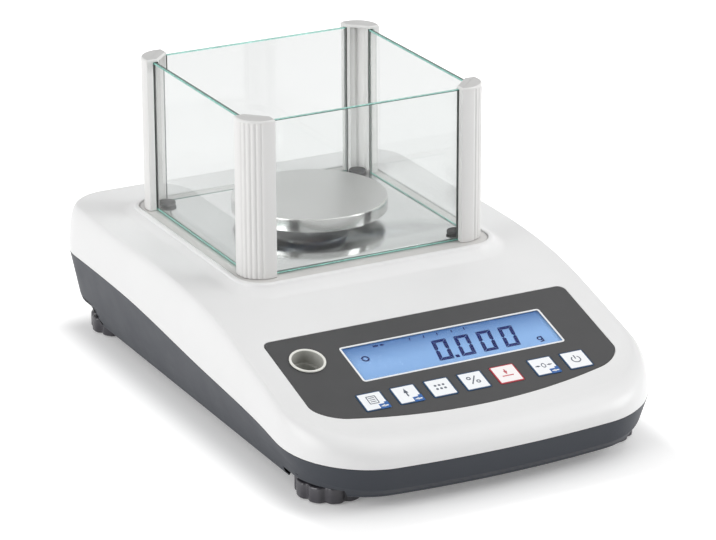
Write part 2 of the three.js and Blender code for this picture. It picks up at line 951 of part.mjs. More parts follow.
function footPad() {
  const profile = [
    [0, 0],
    [footPadRadius - footPadRound, 0],
    [footPadRadius, footPadRound],
    [footPadRadius, footPadHeight],
    [0, footPadHeight],
  ];
  return turned(profile, plugSteps);
}

function screwBoss({ x, y }) {
  return rod(trayBossRadius, trayBossHeight - trayWall / 2, x, y, trayBottomHeight + trayWall / 2);
}

function screwTools({ x, y }) {
  const headTop = screwHeadBottom() + screwHeadHeight + gap;
  const depth = headTop - trayBottomHeight + trayWall;
  return [
    rod(screwHeadRadius + gap, depth, x, y, headTop - depth),
    rod(screwShankRadius + gap, trayBossHeight + gap, x, y, trayBottomHeight),
  ];
}

function socketBlock() {
  const width = socketPocketWidth + trayWall * 2;
  const height = socketPocketHeight + trayWall * 2;
  const depth = socketPocketDepth + trayWall;
  const z = socketZ - height / 2;
  return box(width, depth, height, 0, rearY - depth / 2, z);
}

function socketTools() {
  const pocketZ = socketZ - socketPocketHeight / 2;
  const reach = socketPocketDepth + overrun;
  const pocketY = socketWallY + reach / 2;
  const serialWidth = serialBodyWidth + gap * 2;
  const serialHeight = serialBodyHeight + gap * 2;
  const serialZ = socketZ - serialHeight / 2;
  const throughWall = trayWall * 3;
  const jackHole = rod(jackBodyRadius + gap, throughWall, 0, 0, -throughWall / 2);
  return [
    box(socketPocketWidth, reach, socketPocketHeight, 0, pocketY, pocketZ),
    box(serialWidth, throughWall, serialHeight, serialPlace, socketWallY, serialZ),
    jackHole.rotateX(Math.PI / 2).translate(jackPlace, socketWallY, socketZ),
  ];
}

// Nine-pin socket: a flange on the wall, a tapered shell outside and a body inside.
function serialPort() {
  const flangeY = socketWallY + gap + serialFlangeThickness / 2;
  const flangeZ = socketZ - serialFlangeHeight / 2;
  const bodyLength = serialBodyDepth + gap + serialFlangeThickness / 2;
  const bodyY = socketWallY + gap + serialFlangeThickness / 2 - bodyLength / 2;
  const bodyZ = socketZ - serialBodyHeight / 2;
  const [w, h] = [serialShellWidth / 2, serialShellHeight / 2];
  const shell = shapeOf([
    [-w, h],
    [serialShellDraft - w, -h],
    [w - serialShellDraft, -h],
    [w, h],
  ]);
  const shellStart = serialFlangeThickness / 2;
  const reach = slab(shell, shellStart, serialFlangeThickness + serialShellReach);
  const outward = new THREE.Matrix4().makeBasis(axisX, axisZ, axisY);
  const shellSolid = facingOut(reach.applyMatrix4(outward));
  shellSolid.translate(serialPlace, socketWallY + gap, socketZ);
  return fuse(
    box(serialFlangeWidth, serialFlangeThickness, serialFlangeHeight, serialPlace, flangeY, flangeZ),
    box(serialBodyWidth, bodyLength, serialBodyHeight, serialPlace, bodyY, bodyZ),
    shellSolid,
  );
}

// Round power socket: a flange outside, a barrel through the wall, a bore with its pin.
function powerJack() {
  const face = jackFlangeThickness + gap;
  const profile = [
    [0, -jackBodyDepth],
    [jackBodyRadius, -jackBodyDepth],
    [jackBodyRadius, gap],
    [jackFlangeRadius, gap],
    [jackFlangeRadius, face],
    [jackBoreRadius, face],
    [jackBoreRadius, face - jackBoreDepth],
    [jackPinRadius, face - jackBoreDepth],
    [jackPinRadius, face - jackPinRadius],
    [0, face - jackPinRadius],
  ];
  return turned(profile, smallRoundSteps)
    .rotateX(-Math.PI / 2)
    .translate(jackPlace, socketWallY, socketZ);
}

function hookTools() {
  const flangeRoom = hookPlugFlange + gap;
  const low = trayBottomHeight - trayWall;
  return [
    rod(hookPlugRadius + gap, flangeRoom + trayWall, 0, panY, low, plugSteps),
    rod(hookNeckRadius + gap, trayWall * 3, 0, panY, low, plugSteps),
  ];
}

function hookPlug() {
  const flangeTop = trayBottomHeight + hookPlugFlange;
  const profile = [
    [0, trayBottomHeight],
    [hookPlugRadius, trayBottomHeight],
    [hookPlugRadius, flangeTop],
    [hookNeckRadius, flangeTop],
    [hookNeckRadius, flangeTop + hookNeckHeight],
    [0, flangeTop + hookNeckHeight],
  ];
  return turned(profile, plugSteps);
}

// Post section: u runs along the chord between the two tips, v points outward.
// The outer arc carries shallow flutes over its middle, and the inner side a hollow
// that clears the rubber stud, with a narrow channel in its bottom.
function postOutline() {
  const half = postChord / 2;
  const outer = fluteAngles().map(([angle, radius]) => {
    const centre = postSagitta - postArcRadius();
    return [radius * Math.sin(angle), centre + radius * Math.cos(angle)];
  });
  const [first, last] = [[-half, 0], [half, 0]];
  const inner = postInnerWidth / 2;
  return [
    first,
    ...outer,
    last,
    [inner, -postInnerDepth],
    ...postHollow(),
    [-inner, -postInnerDepth],
  ];
}

function postArcRadius() {
  const half = postChord / 2;
  return (half * half + postSagitta * postSagitta) / (postSagitta * 2);
}

function fluteAngles() {
  const radius = postArcRadius();
  const opening = Math.asin(postChord / 2 / radius);
  const fluted = opening * postFluteSpanShare;
  const middle = steps(postFlutes * postFluteSteps).map((share) => {
    const wave = (1 - Math.cos(share * Math.PI * 2 * postFlutes)) / 2;
    return [fluted * (share * 2 - 1), radius - postFluteDepth * wave];
  });
  const edge = steps(roundCornerSteps)
    .slice(1, -1)
    .map((share) => [-opening + (opening - fluted) * share, radius]);
  const mirror = edge.map(([angle, r]) => [-angle, r]).reverse();
  return [...edge, ...middle, ...mirror];
}

function postHollow() {
  const radius = studRadius + studClearance;
  const open = Math.acos((studSetback - postInnerDepth) / radius);
  const shut = Math.asin(postChannelRadius / radius);
  const side = steps(roundCornerSteps).map((share) => {
    const angle = open + (shut - open) * share;
    return [radius * Math.sin(angle), radius * Math.cos(angle) - studSetback];
  });
  const bottom = radius * Math.cos(shut) - studSetback + postChannelDepth;
  const mirror = side.map(([u, v]) => [-u, v]).reverse();
  return [...side, [postChannelRadius, bottom], [-postChannelRadius, bottom], ...mirror];
}

// One post stands in the corner where x and y are both positive. Its slots stop under
// the top, which closes them over the panes.
function shieldPost() {
  const column = slab(shapeOf(postOutline()), 0, postHeight);
  column.rotateZ(-Math.PI / 4).translate(postMiddle.x, postMiddle.y, 0);
  const width = paneThickness + gap * 2;
  const height = paneHeight + gap + overrun;
  const slotX = shieldWidth / 2 - paneThickness / 2;
  const slotY = shieldDepth / 2 - paneThickness / 2;
  const sideY = postMiddle.y - postSlotStop - postChord / 2;
  const endX = postMiddle.x - postSlotStop - postChord / 2;
  return cut(
    column,
    box(width, postChord, height, slotX, sideY, -overrun),
    box(postChord, width, height, endX, slotY, -overrun),
  );
}

function mirrored(geometry, across, along) {
  return facingOut(geometry.clone().scale(across, along, 1));
}

function paneLength(middle) {
  return (middle - postSlotStop - gap) * 2;
}

function sidePane() {
  return box(paneThickness, paneLength(postMiddle.y), paneHeight, 0, 0, 0);
}

function endPane() {
  return box(paneLength(postMiddle.x), paneThickness, paneHeight, 0, 0, 0);
}

// Polished plate between the panes, with cut corners that clear the posts.
function floorPlate() {
  const room = paneThickness + floorPlateMargin;
  const [w, d] = [shieldWidth / 2 - room, shieldDepth / 2 - room];
  const diagonal = (postInnerDepth + studClearance) * Math.SQRT2;
  const reach = postMiddle.x + postMiddle.y - diagonal;
  const [cutX, cutY] = [reach - d, reach - w];
  const shape = shapeOf([
    [cutX, -d],
    [w, -cutY],
    [w, cutY],
    [cutX, d],
    [-cutX, d],
    [-w, cutY],
    [-w, -cutY],
    [-cutX, -d],
  ]);
  shape.holes.push(circle(floorPlateHoleRadius, 0, 0));
  return slab(shape, seatZ + gap, plateTopZ);
}

function cornerStud() {
  const bottom = plateTopZ + gap;
  return turned(
    [
      [0, bottom],
      [studRadius, bottom],
      [studRadius, bottom + studHeight - studRound],
      [studRadius - studRound, bottom + studHeight],
      [0, bottom + studHeight],
    ],
    smallRoundSteps,
  );
}

function studPlace() {
  const back = studSetback / Math.SQRT2;
  return { x: postMiddle.x - back, y: postMiddle.y - back };
}

// Pan: a shallow upturned dish with a straight rim and a hub that drops over the spigot.
function weighingPan() {
  const under = panTopZ - panWall;
  const hubInner = carrierSpigotRadius + gap;
  const hubOuter = hubInner + panHubWall;
  return turned(
    [
      [0, panTopZ],
      [panRadius - panEdgeRound, panTopZ],
      [panRadius, panTopZ - panEdgeRound],
      [panRadius, panTopZ - panRimHeight],
      [panRadius - panWall, panTopZ - panRimHeight],
      [panRadius - panWall, under],
      [hubOuter, under],
      [hubOuter, under - panHubHeight],
      [hubInner, under - panHubHeight],
      [hubInner, under],
      [0, under],
    ],
    panSteps,
  );
}

// Carrier: a foot on the free end of the load cell, an arm back to the pan centre,
// and a post up through the floor plate with the disc and spigot that hold the pan.
function panCarrier() {
  const footZ = cellZ + cellHeight + gap;
  const armZ = footZ + carrierFootHeight;
  const freeEnd = panY - cellLength / 2;
  const footLength = cellEndLength - gap;
  const armLength = panY + carrierArmReach - freeEnd;
  const spigotTop = panTopZ - panWall - gap;
  const discTop = panTopZ - panWall - panHubHeight - gap;
  const discBottom = discTop - carrierDiscThickness;
  return fuse(
    box(cellWidth, footLength, carrierFootHeight, 0, freeEnd + footLength / 2, footZ),
    box(cellWidth, armLength, carrierArmThickness, 0, freeEnd + armLength / 2, armZ),
    rod(carrierPostRadius, discTop - armZ, 0, panY, armZ),
    rod(carrierDiscRadius, carrierDiscThickness, 0, panY, discBottom, roundSteps),
    rod(carrierSpigotRadius, spigotTop - discBottom, 0, panY, discBottom),
  );
}

function loadCellBase() {
  const [w, d] = [cellBaseWidth / 2, cellBaseLength / 2];
  const shape = shapeOf([
    [-w, -d],
    [w, -d],
    [w, d],
    [-w, d],
  ]);
  shape.holes.push(circle(cellBaseHoleRadius, 0, 0));
  return slab(shape, cellBaseZ, cellBaseZ + cellBaseThickness);
}

function loadCellSpacer() {
  const fixedEnd = panY + cellLength / 2;
  const z = cellBaseZ + cellBaseThickness + gap;
  return box(cellWidth, cellEndLength, cellSpacerHeight, 0, fixedEnd - cellEndLength / 2, z);
}

// Load cell: a bar whose middle is thinned by two round holes joined by a slot.
function loadCell() {
  const [l, h] = [cellLength / 2, cellHeight / 2];
  const shape = shapeOf([
    [-l, -h],
    [l, -h],
    [l, h],
    [-l, h],
  ]);
  const turn = Math.asin(cellSlotHeight / 2 / cellHoleRadius);
  const place = cellHoleSpacing / 2;
  const sweep = (Math.PI - turn) * 2;
  const right = arc(place, 0, cellHoleRadius, turn - Math.PI, sweep, arcSteps);
  const left = arc(-place, 0, cellHoleRadius, turn, sweep, arcSteps);
  shape.holes.push(shapeOf([...right, ...left]));
  const across = new THREE.Matrix4().makeBasis(axisY, axisZ, axisX);
  const bar = slab(shape, -cellWidth / 2, cellWidth / 2).applyMatrix4(across);
  return facingOut(bar).translate(0, panY, cellZ + h);
}

function overloadStop() {
  const bottom = cellBaseZ + cellBaseThickness + gap;
  const height = cellZ - cellStopClearance - bottom;
  const y = panY - cellLength / 2 + cellEndLength / 2;
  return rod(cellStopRadius, height, 0, y, bottom);
}

function mainBoardPlace() {
  const front = frontY + housingLength * mainBoardFrontShare;
  return { y: front + mainBoardDepth / 2, z: trayFloorZ + mainBoardRise };
}

function mainBoardPosts() {
  const { y, z } = mainBoardPlace();
  const [dx, dy] = [mainBoardWidth / 2, mainBoardDepth / 2].map((v) => v - mainBoardPostInset);
  const bottom = trayFloorZ - trayWall / 2;
  const height = z - gap - bottom;
  return [-dx, dx].flatMap((x) =>
    [y - dy, y + dy].map((place) => rod(mainBoardPostRadius, height, x, place, bottom)),
  );
}

function mainBoard() {
  const { y, z } = mainBoardPlace();
  const chips = [-chipPlace, chipPlace].map((x) =>
    box(chipWidth, chipDepth, chipHeight + mainBoardThickness, x, y, z),
  );
  return fuse(box(mainBoardWidth, mainBoardDepth, mainBoardThickness, 0, y, z), ...chips);
}

// Flat cable: a strip along an S-shaped curve from the display board to the main board.
function displayRibbon() {
  const under = displayBoardTop - displayBoardThickness - gap - ribbonThickness;
  const start = new THREE.Vector3(0, -ribbonTopMargin, under).applyMatrix4(panelMatrix());
  const { y, z } = mainBoardPlace();
  const endY = y - mainBoardDepth / 2 + ribbonBoardReach;
  const endZ = z + mainBoardThickness + gap + ribbonThickness;
  const curve = new THREE.CubicBezierCurve(
    new THREE.Vector2(start.y, start.z),
    new THREE.Vector2(start.y, start.z - ribbonBend),
    new THREE.Vector2(endY - ribbonBend, endZ),
    new THREE.Vector2(endY, endZ),
  );
  const side = (sign) =>
    steps(ribbonSteps).map((share) => {
      const p = curve.getPoint(share);
      const t = curve.getTangent(share);
      const reach = (sign * ribbonThickness) / 2;
      return [p.x - t.y * reach, p.y + t.x * reach];
    });
  const shape = shapeOf([...side(-1), ...side(1).reverse()]);
  const across = new THREE.Matrix4().makeBasis(axisY, axisZ, axisX);
  return facingOut(slab(shape, -ribbonWidth / 2, ribbonWidth / 2).applyMatrix4(across));
}

function panelOverlay() {
  const shape = shapeOf(outlinePoints(overlayOutline));
  const level = levelPlace();
  shape.holes.push(windowShape(0));
  shape.holes.push(circle(levelCupRadius + gap, level.x, level.y));
  keyPlaces().forEach(({ x, y }) => shape.holes.push(keyShape(gap, x, y)));
  return slab(shape, -overlayThickness, 0);
}

// The key row clears the film's bowed front edge by its margin at the last key.
function keyRowY() {
  const edgeShare = (overlayHalf - keyRightMargin + keySize / 2) / overlayHalf;
  return overlayBow * edgeShare ** 2 + keyRowMargin + keySize / 2 - overlayLength;
}

function keyPlaces() {
  const y = keyRowY();
  return Array.from({ length: keyCount }, (_, i) => {
    const shift = i >= keyCount - keyEndGroup ? keyGroupGap : 0;
    return { x: keyLeftMargin - overlayHalf + keyPitch * i + shift, y };
  });
}

function keyShape(grow, x, y) {
  const size = keySize + grow * 2;
  return roundedRectangle(size, size, keyCornerRadius + grow, x, y);
}

function key() {
  const capBottom = keyProud - keyCapThickness;
  const bottom = displayBoardTop + keyTravel + gap;
  const cap = slab(keyShape(0, 0, 0), capBottom, keyProud);
  const plunger = rod(keyPlungerRadius, capBottom + keyCapThickness / 2 - bottom, 0, 0, bottom);
  return fuse(cap, plunger);
}

function displayWindow() {
  return slab(windowShape(gap), -overlayThickness, 0);
}

function lcdGlass() {
  return slab(windowShape(windowLedge + gap), lcdTop - lcdThickness, lcdTop);
}

function backlight() {
  return slab(windowShape(windowLedge + gap), backlightTop - backlightThickness, backlightTop);
}

function displayBoard() {
  const { left, right, rear, front } = displayBoardSpan();
  const width = right - left;
  const middle = (right + left) / 2;
  const z = displayBoardTop - displayBoardThickness;
  return box(width, rear - front, displayBoardThickness, middle, (rear + front) / 2, z);
}

// Where the vial's top middle lies: on the cup's axis, its raised edge under the bore floor.
function vialTop() {
  return -(levelBoreDepth + levelVialRadius * Math.sin(slope) + gap);
}

function levelCup() {
  const depth = -vialTop() + (levelVialHeight + gap) * Math.cos(slope);
  const tilt = (levelVialRadius + gap) * Math.sin(slope);
  const bottom = -(depth + tilt + levelCupFloor);
  const bore = levelCupRadius - levelCupWall;
  const flange = gap + levelFlangeThickness;
  const pocketHeight = levelVialHeight + gap + levelVialRadius;
  const pocket = rod(levelVialRadius + gap, pocketHeight, 0, 0, -(levelVialHeight + gap));
  pocket.rotateX(-slope).translate(0, 0, vialTop());
  return cut(
    fuse(
      rod(levelCupRadius, flange - bottom, 0, 0, bottom, roundSteps),
      rod(levelFlangeRadius, levelFlangeThickness, 0, 0, gap, roundSteps),
    ),
    rod(bore, levelBoreDepth + overrun, 0, 0, -levelBoreDepth, roundSteps),
    pocket,
  );
}

function levelVial() {
  return rod(levelVialRadius, levelVialHeight, 0, 0, -levelVialHeight);
}

const balance = new THREE.Group();

function add(name, geometry, material, parent, x = 0, y = 0, z = 0) {
  const mesh = new THREE.Mesh(geometry, material);
  mesh.name = name;
  mesh.position.set(x, y, z);
  parent.add(mesh);
}

function addHousing() {
  add("top_cover", topCover(), finishes.whiteShell, balance);
  add("base_tray", baseTray(), finishes.darkShell, balance);
  add("hook_plug", hookPlug(), finishes.darkShell, balance, 0, panY);
  add("serial_port", serialPort(), finishes.steel, balance);
  add("power_jack", powerJack(), finishes.darkRubber, balance);
  screwPlaces().forEach(({ name, x, y }) => {
    add(`housing_screw_${name}`, housingScrew(), finishes.steel, balance, x, y);
  });
}

function addFeet() {
  footPlaces().forEach((foot) => {
    const { name, x, y } = foot;
    add(`foot_wheel_${name}`, footWheel(), finishes.blackWheel, balance, x, y);
    add(`foot_pad_${name}`, footPad(), finishes.darkRubber, balance, x, y);
    add(`foot_insert_${name}`, footInsert(foot), finishes.brass, balance, x, y);
  });
}

function addShield() {
  const frame = new THREE.Group();
  frame.position.set(0, panY, seatZ + gap);
  balance.add(frame);
  const post = shieldPost();
  const corners = { front_left: [-1, -1], front_right: [1, -1], rear_left: [-1, 1], rear_right: [1, 1] };
  Object.entries(corners).forEach(([name, [across, along]]) => {
    add(`shield_post_${name}`, mirrored(post, across, along), finishes.postGrey, frame);
  });
  const paneX = (shieldWidth - paneThickness) / 2;
  const paneY = (shieldDepth - paneThickness) / 2;
  add("shield_pane_left", sidePane(), finishes.glass, frame, -paneX, 0);
  add("shield_pane_right", sidePane(), finishes.glass, frame, paneX, 0);
  add("shield_pane_front", endPane(), finishes.glass, frame, 0, -paneY);
  add("shield_pane_rear", endPane(), finishes.glass, frame, 0, paneY);
  add("shield_floor_plate", floorPlate(), finishes.steel, balance, 0, panY);
  const stud = studPlace();
  Object.entries(corners).forEach(([name, [across, along]]) => {
    const [x, y] = [across * stud.x, panY + along * stud.y];
    add(`corner_stud_${name}`, cornerStud(), finishes.darkRubber, balance, x, y);
  });
}

function addWeighing() {
  add("weighing_pan", weighingPan(), finishes.steel, balance, 0, panY);
  add("pan_carrier", panCarrier(), finishes.aluminium, balance);
  add("load_cell", loadCell(), finishes.aluminium, balance);
  add("load_cell_spacer", loadCellSpacer(), finishes.aluminium, balance);
  add("load_cell_base", loadCellBase(), finishes.aluminium, balance, 0, panY);
  add("overload_stop", overloadStop(), finishes.steel, balance);
  add("main_board", mainBoard(), finishes.board, balance);
  add("display_ribbon", displayRibbon(), finishes.cable, balance);
}

function addPanel() {
  const panel = new THREE.Group();
  panel.position.set(0, panelRearY, panelRearHeight);
  panel.rotation.x = slope;
  balance.add(panel);
  add("panel_overlay", panelOverlay(), finishes.overlay, panel);
  add("display_window", displayWindow(), finishes.clear, panel);
  add("lcd_glass", lcdGlass(), finishes.lcd, panel);
  add("lcd_backlight", backlight(), finishes.diffuser, panel);
  add("display_board", displayBoard(), finishes.board, panel);
  const tare = keyCount - keyEndGroup - 1;
  keyPlaces().forEach(({ x, y }, i) => {
    const material = i === tare ? finishes.keyRed : finishes.keyWhite;
    add(`key_${i + 1}`, key(), material, panel, x, y);
  });
  const level = levelPlace();
  add("level_cup", levelCup(), finishes.clear, panel, level.x, level.y);
  const vial = new THREE.Vector3(level.x, level.y, vialTop()).applyMatrix4(panelMatrix());
  add("level_vial", levelVial(), finishes.clear, balance, vial.x, vial.y, vial.z);
}

addHousing();
addFeet();
addShield();
addWeighing();
addPanel();

export default balance;
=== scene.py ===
"""Looks of a precision balance with an open-topped glass draft shield.

The file is laid out as an add-on: sizes and colours are property groups, each piece or
group of like pieces has an operator, and a sidebar panel lists them. Run as a script, it
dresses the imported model, which is loaded first as a fixed frame. Lengths are in metres,
+Z is up, +Y points to the rear, and the display faces -Y.
"""

import math
from collections import namedtuple

import bmesh
import bpy
import numpy as np
from mathutils import Matrix, Vector


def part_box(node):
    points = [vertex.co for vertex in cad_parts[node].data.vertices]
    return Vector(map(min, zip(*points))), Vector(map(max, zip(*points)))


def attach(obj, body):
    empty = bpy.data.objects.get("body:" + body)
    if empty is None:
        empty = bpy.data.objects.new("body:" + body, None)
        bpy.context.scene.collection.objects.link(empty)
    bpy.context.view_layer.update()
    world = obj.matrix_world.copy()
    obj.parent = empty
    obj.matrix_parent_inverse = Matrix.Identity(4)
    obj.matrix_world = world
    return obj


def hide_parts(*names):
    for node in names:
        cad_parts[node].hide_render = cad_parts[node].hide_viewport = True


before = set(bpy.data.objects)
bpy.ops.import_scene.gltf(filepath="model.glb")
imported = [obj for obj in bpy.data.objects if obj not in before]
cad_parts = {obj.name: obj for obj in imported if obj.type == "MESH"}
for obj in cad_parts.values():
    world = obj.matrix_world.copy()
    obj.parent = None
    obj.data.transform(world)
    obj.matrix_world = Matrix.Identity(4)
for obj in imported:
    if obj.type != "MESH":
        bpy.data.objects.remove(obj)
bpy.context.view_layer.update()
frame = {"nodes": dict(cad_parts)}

bl_info = {
    "name": "Precision Balance",
    "version": (1, 0, 0),
    "blender": (4, 5, 0),
    "location": "3D View > Sidebar > Balance",
    "description": "Builds the visible surfaces and finishes of a precision balance",
    "category": "Object",
}

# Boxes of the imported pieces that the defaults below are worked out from
COVER_LOW, COVER_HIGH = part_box("top_cover")
TRAY_LOW, TRAY_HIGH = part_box("base_tray")
_, OVERLAY_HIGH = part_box("panel_overlay")
PAN_LOW, PAN_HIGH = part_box("weighing_pan")
PLATE_LOW, PLATE_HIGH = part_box("shield_floor_plate")
POST_LOW, POST_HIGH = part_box("shield_post_front_right")
_, PANE_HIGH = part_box("shield_pane_right")
END_LOW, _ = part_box("shield_pane_front")
WHEEL_LOW, WHEEL_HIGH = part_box("foot_wheel_front_right")
PAD_LOW, PAD_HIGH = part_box("foot_pad_front_right")
STUD_LOW, STUD_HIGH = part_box("corner_stud_front_right")
JACK_LOW, JACK_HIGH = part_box("power_jack")
SERIAL_LOW, SERIAL_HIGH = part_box("serial_port")
HOOK_LOW, HOOK_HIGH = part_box("hook_plug")
VIAL_LOW, VIAL_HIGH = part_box("level_vial")

CORNERS = ("front_left", "front_right", "rear_left", "rear_right")
FACES = ("left", "right", "front", "rear")
KEY_COUNT = 7
TARE_KEY = 5
SHIFT_KEYS = (1, 2, 6)

# Points along a quarter corner, a short side and a long side of a plan outline
CORNER_STEPS = 18
CROSS_STEPS = 26
ALONG_STEPS = 44
QUARTER = math.pi / 2

MM = 0.001
KEY_CAP = 0.0006  # Thickness of a key's cap, as it is packed
PRINT = 0.00003  # Thickness of printed signs
SAME = 0.00005  # Heights that differ by less count as one
UPWARD = 0.97  # A face is level where its normal's z is over this
ARRIS = 1e-4  # Broken edges of blocks that only cut or fill
SMALLEST_CORNER = 0.0003
DOUBLES = 2e-7  # Points nearer than this are merged after a boolean


def length(title, value, words):
    """A length that a user may change."""
    return bpy.props.FloatProperty(
        name=title, description=words, default=value, unit="LENGTH", precision=5
    )


def ratio(title, value, words):
    """A plain number that a user may change."""
    return bpy.props.FloatProperty(name=title, description=words, default=value, precision=4)


def angle(title, degrees, words):
    """An angle that a user may change."""
    return bpy.props.FloatProperty(
        name=title, description=words, default=math.radians(degrees), unit="ROTATION"
    )


def colour(title, value, words):
    """A colour that a user may change."""
    return bpy.props.FloatVectorProperty(
        name=title, description=words, default=value, subtype="COLOR", size=3, min=0, max=1
    )


class BalanceHousing(bpy.types.PropertyGroup):
    """Sizes of the white cover."""

    bow: length("Front bow", 0.0085, "How far the front end bulges at the parting line")
    front_radius: length("Front corner", 0.042, "Corner radius at the parting line, front")
    rear_radius: length("Rear corner", 0.030, "Corner radius at the parting line, rear")
    parting_rise: length("Parting rise", 0.021, "Rise of the parting line to the rear end")
    wall: length("Wall", 0.0025, "Thickness of the moulding")
    deck_height: length("Rear deck", 0.070, "Height of the level rear deck")
    ease_start: length("Ease start", 0.0023, "Where the deck leaves the panel's plane")
    ease_length: length("Ease length", 0.097, "Length over which the deck levels out")
    crease_side: length("Side crease", 0.0045, "Inset of the crease from the sides")
    crease_front: length("Front crease", 0.0145, "Inset of the crease from the front")
    crease_rear: length("Rear crease", 0.010, "Inset of the crease from the rear")
    crease_front_radius: length("Crease front corner", 0.031, "Corner radius of the crease")
    crease_rear_radius: length("Crease rear corner", 0.022, "Corner radius of the crease")
    crease_bow: length("Crease bow", 0.012, "How far the crease bulges at the front")
    shoulder: ratio("Shoulder roundness", 2.3, "Power of the shoulder's curve")
    side_margin: length("Seat side margin", 0.008, "Pedestal beyond the shield, sides")
    front_margin: length("Seat front margin", 0.011, "Pedestal beyond the shield, front")
    rear_margin: length("Seat rear margin", 0.009, "Pedestal beyond the shield, rear")
    seat_radius: length("Seat corner", 0.015, "Corner radius of the pedestal's rim")
    seat_foot_radius: length("Seat foot corner", 0.022, "Corner radius of the pedestal's foot")
    seat_flare: length("Seat flare", 0.0075, "How far the pedestal's foot spreads")
    seat_round: length("Seat rounding", 0.0012, "Rounding of the pedestal's rim")
    seat_lip: length("Seat lip", 0.0014, "Width of the lip round the seat")
    seat_depth: length("Seat depth", 0.0006, "Depth of the seat below the rim")
    seat_groove: length("Seat groove", 0.0008, "Width and depth of the groove round the seat")
    post_hole: length("Post hole", 0.014, "Radius of the opening under the pan")


class BalanceTray(bpy.types.PropertyGroup):
    """Sizes of the dark tray and what is let into it."""

    gap: length("Parting gap", 0.0003, "Shadow line between cover and tray")
    wall: length("Wall", 0.0025, "Thickness of the moulding")
    bottom_inset: length("Bottom inset", 0.009, "How far the sides draw in at the bottom")
    bottom_front: length("Bottom front inset", 0.005, "How far the front draws in")
    crease_inset: length("Crease inset", 0.0048, "Inset of the crease round the tray")
    crease_front: length("Crease front inset", 0.0025, "Inset of the crease at the front")
    crease_height: length("Crease height", 0.020, "Height of the crease along the sides")
    crease_front_height: length("Crease front height", 0.0115, "Height of the crease in front")
    crease_ease: length("Crease ease", 0.058, "Length over which the crease drops")
    edge_round: length("Edge rounding", 0.0014, "Rounding of the bottom edge")
    pocket_margin: length("Pocket margin", 0.0026, "Room round a foot wheel")
    pocket_reach: length("Pocket reach", 0.062, "How far a foot pocket runs out")
    pocket_front: length("Front pocket ceiling", 0.011, "Ceiling over the front feet")
    pocket_rear: length("Rear pocket ceiling", 0.017, "Ceiling over the rear feet")
    socket_width: length("Socket pocket width", 0.084, "Width of the rear socket pocket")
    socket_height: length("Socket pocket height", 0.024, "Height of the rear socket pocket")
    socket_depth: length("Socket pocket depth", 0.012, "Depth of the rear socket pocket")
    socket_rise: length("Socket pocket rise", 0.006, "Height of the pocket over the bottom")


class BalanceFeet(bpy.types.PropertyGroup):
    """Sizes of the levelling feet."""

    lobes: bpy.props.IntProperty(name="Lobes", description="Scallops round a wheel", default=10)
    scallop: length("Scallop depth", 0.0017, "Depth of the scallops")
    chamfer: length("Edge rounding", 0.0010, "Rounding of the wheel's edges")
    height: length("Wheel height", 0.0084, "Height of the wheel without its stud")
    stud: length("Stud radius", 0.004, "Radius of the screw")
    pitch: length("Thread pitch", 0.00125, "Pitch of the screw")
    pad_round: length("Pad rounding", 0.0008, "Rounding of the pad's lower edge")


class BalanceShield(bpy.types.PropertyGroup):
    """Sizes of the draft shield."""

    chord: length("Post chord", 0.0218, "Width of a post across the corner")
    sagitta: length("Post bulge", 0.0067, "How far a post bulges outward")
    corner_cut: length("Corner cut", 0.004, "Post chord's middle to the shield's corner")
    inner_depth: length("Inner depth", 0.0042, "How far a post reaches inward")
    inner_width: length("Inner width", 0.0138, "Width of a post's inner side")
    channel_radius: length("Channel half width", 0.0018, "Half width of the inner channel")
    channel_depth: length("Channel depth", 0.0018, "Depth of the inner channel")
    flutes: bpy.props.IntProperty(name="Flutes", description="Flutes on a post", default=5)
    flute_depth: length("Flute depth", 0.00045, "Depth of the flutes")
    flute_share: ratio("Flute share", 0.52, "Share of the bulge that is fluted")
    cap: length("Post cap", 0.0014, "Thickness of the cap on a post")
    cap_edge: length("Cap edge", 0.0010, "Round along the top of a cap")
    pane: length("Pane thickness", 0.0025, "Thickness of the glass")
    pane_arris: length("Glass arris", 0.0003, "Ground arris of the glass")
    # Painted shade: the dark strips where glass meets a post
    gasket: length("Gasket width", 0.0005, "Dark strip where glass meets a post")
    stud_gap: length("Stud clearance", 0.0005, "Room round a rubber stud")


class BalancePan(bpy.types.PropertyGroup):
    """Sizes of the weighing pan."""

    wall: length("Wall", 0.0012, "Thickness of the sheet")
    edge: length("Edge rounding", 0.0009, "Rounding of the pan's edge")
    hub: length("Hub radius", 0.0103, "Outer radius of the hub under the pan")
    hub_bore: length("Hub bore", 0.0083, "Bore of the hub")
    hub_height: length("Hub height", 0.0028, "Height of the hub")


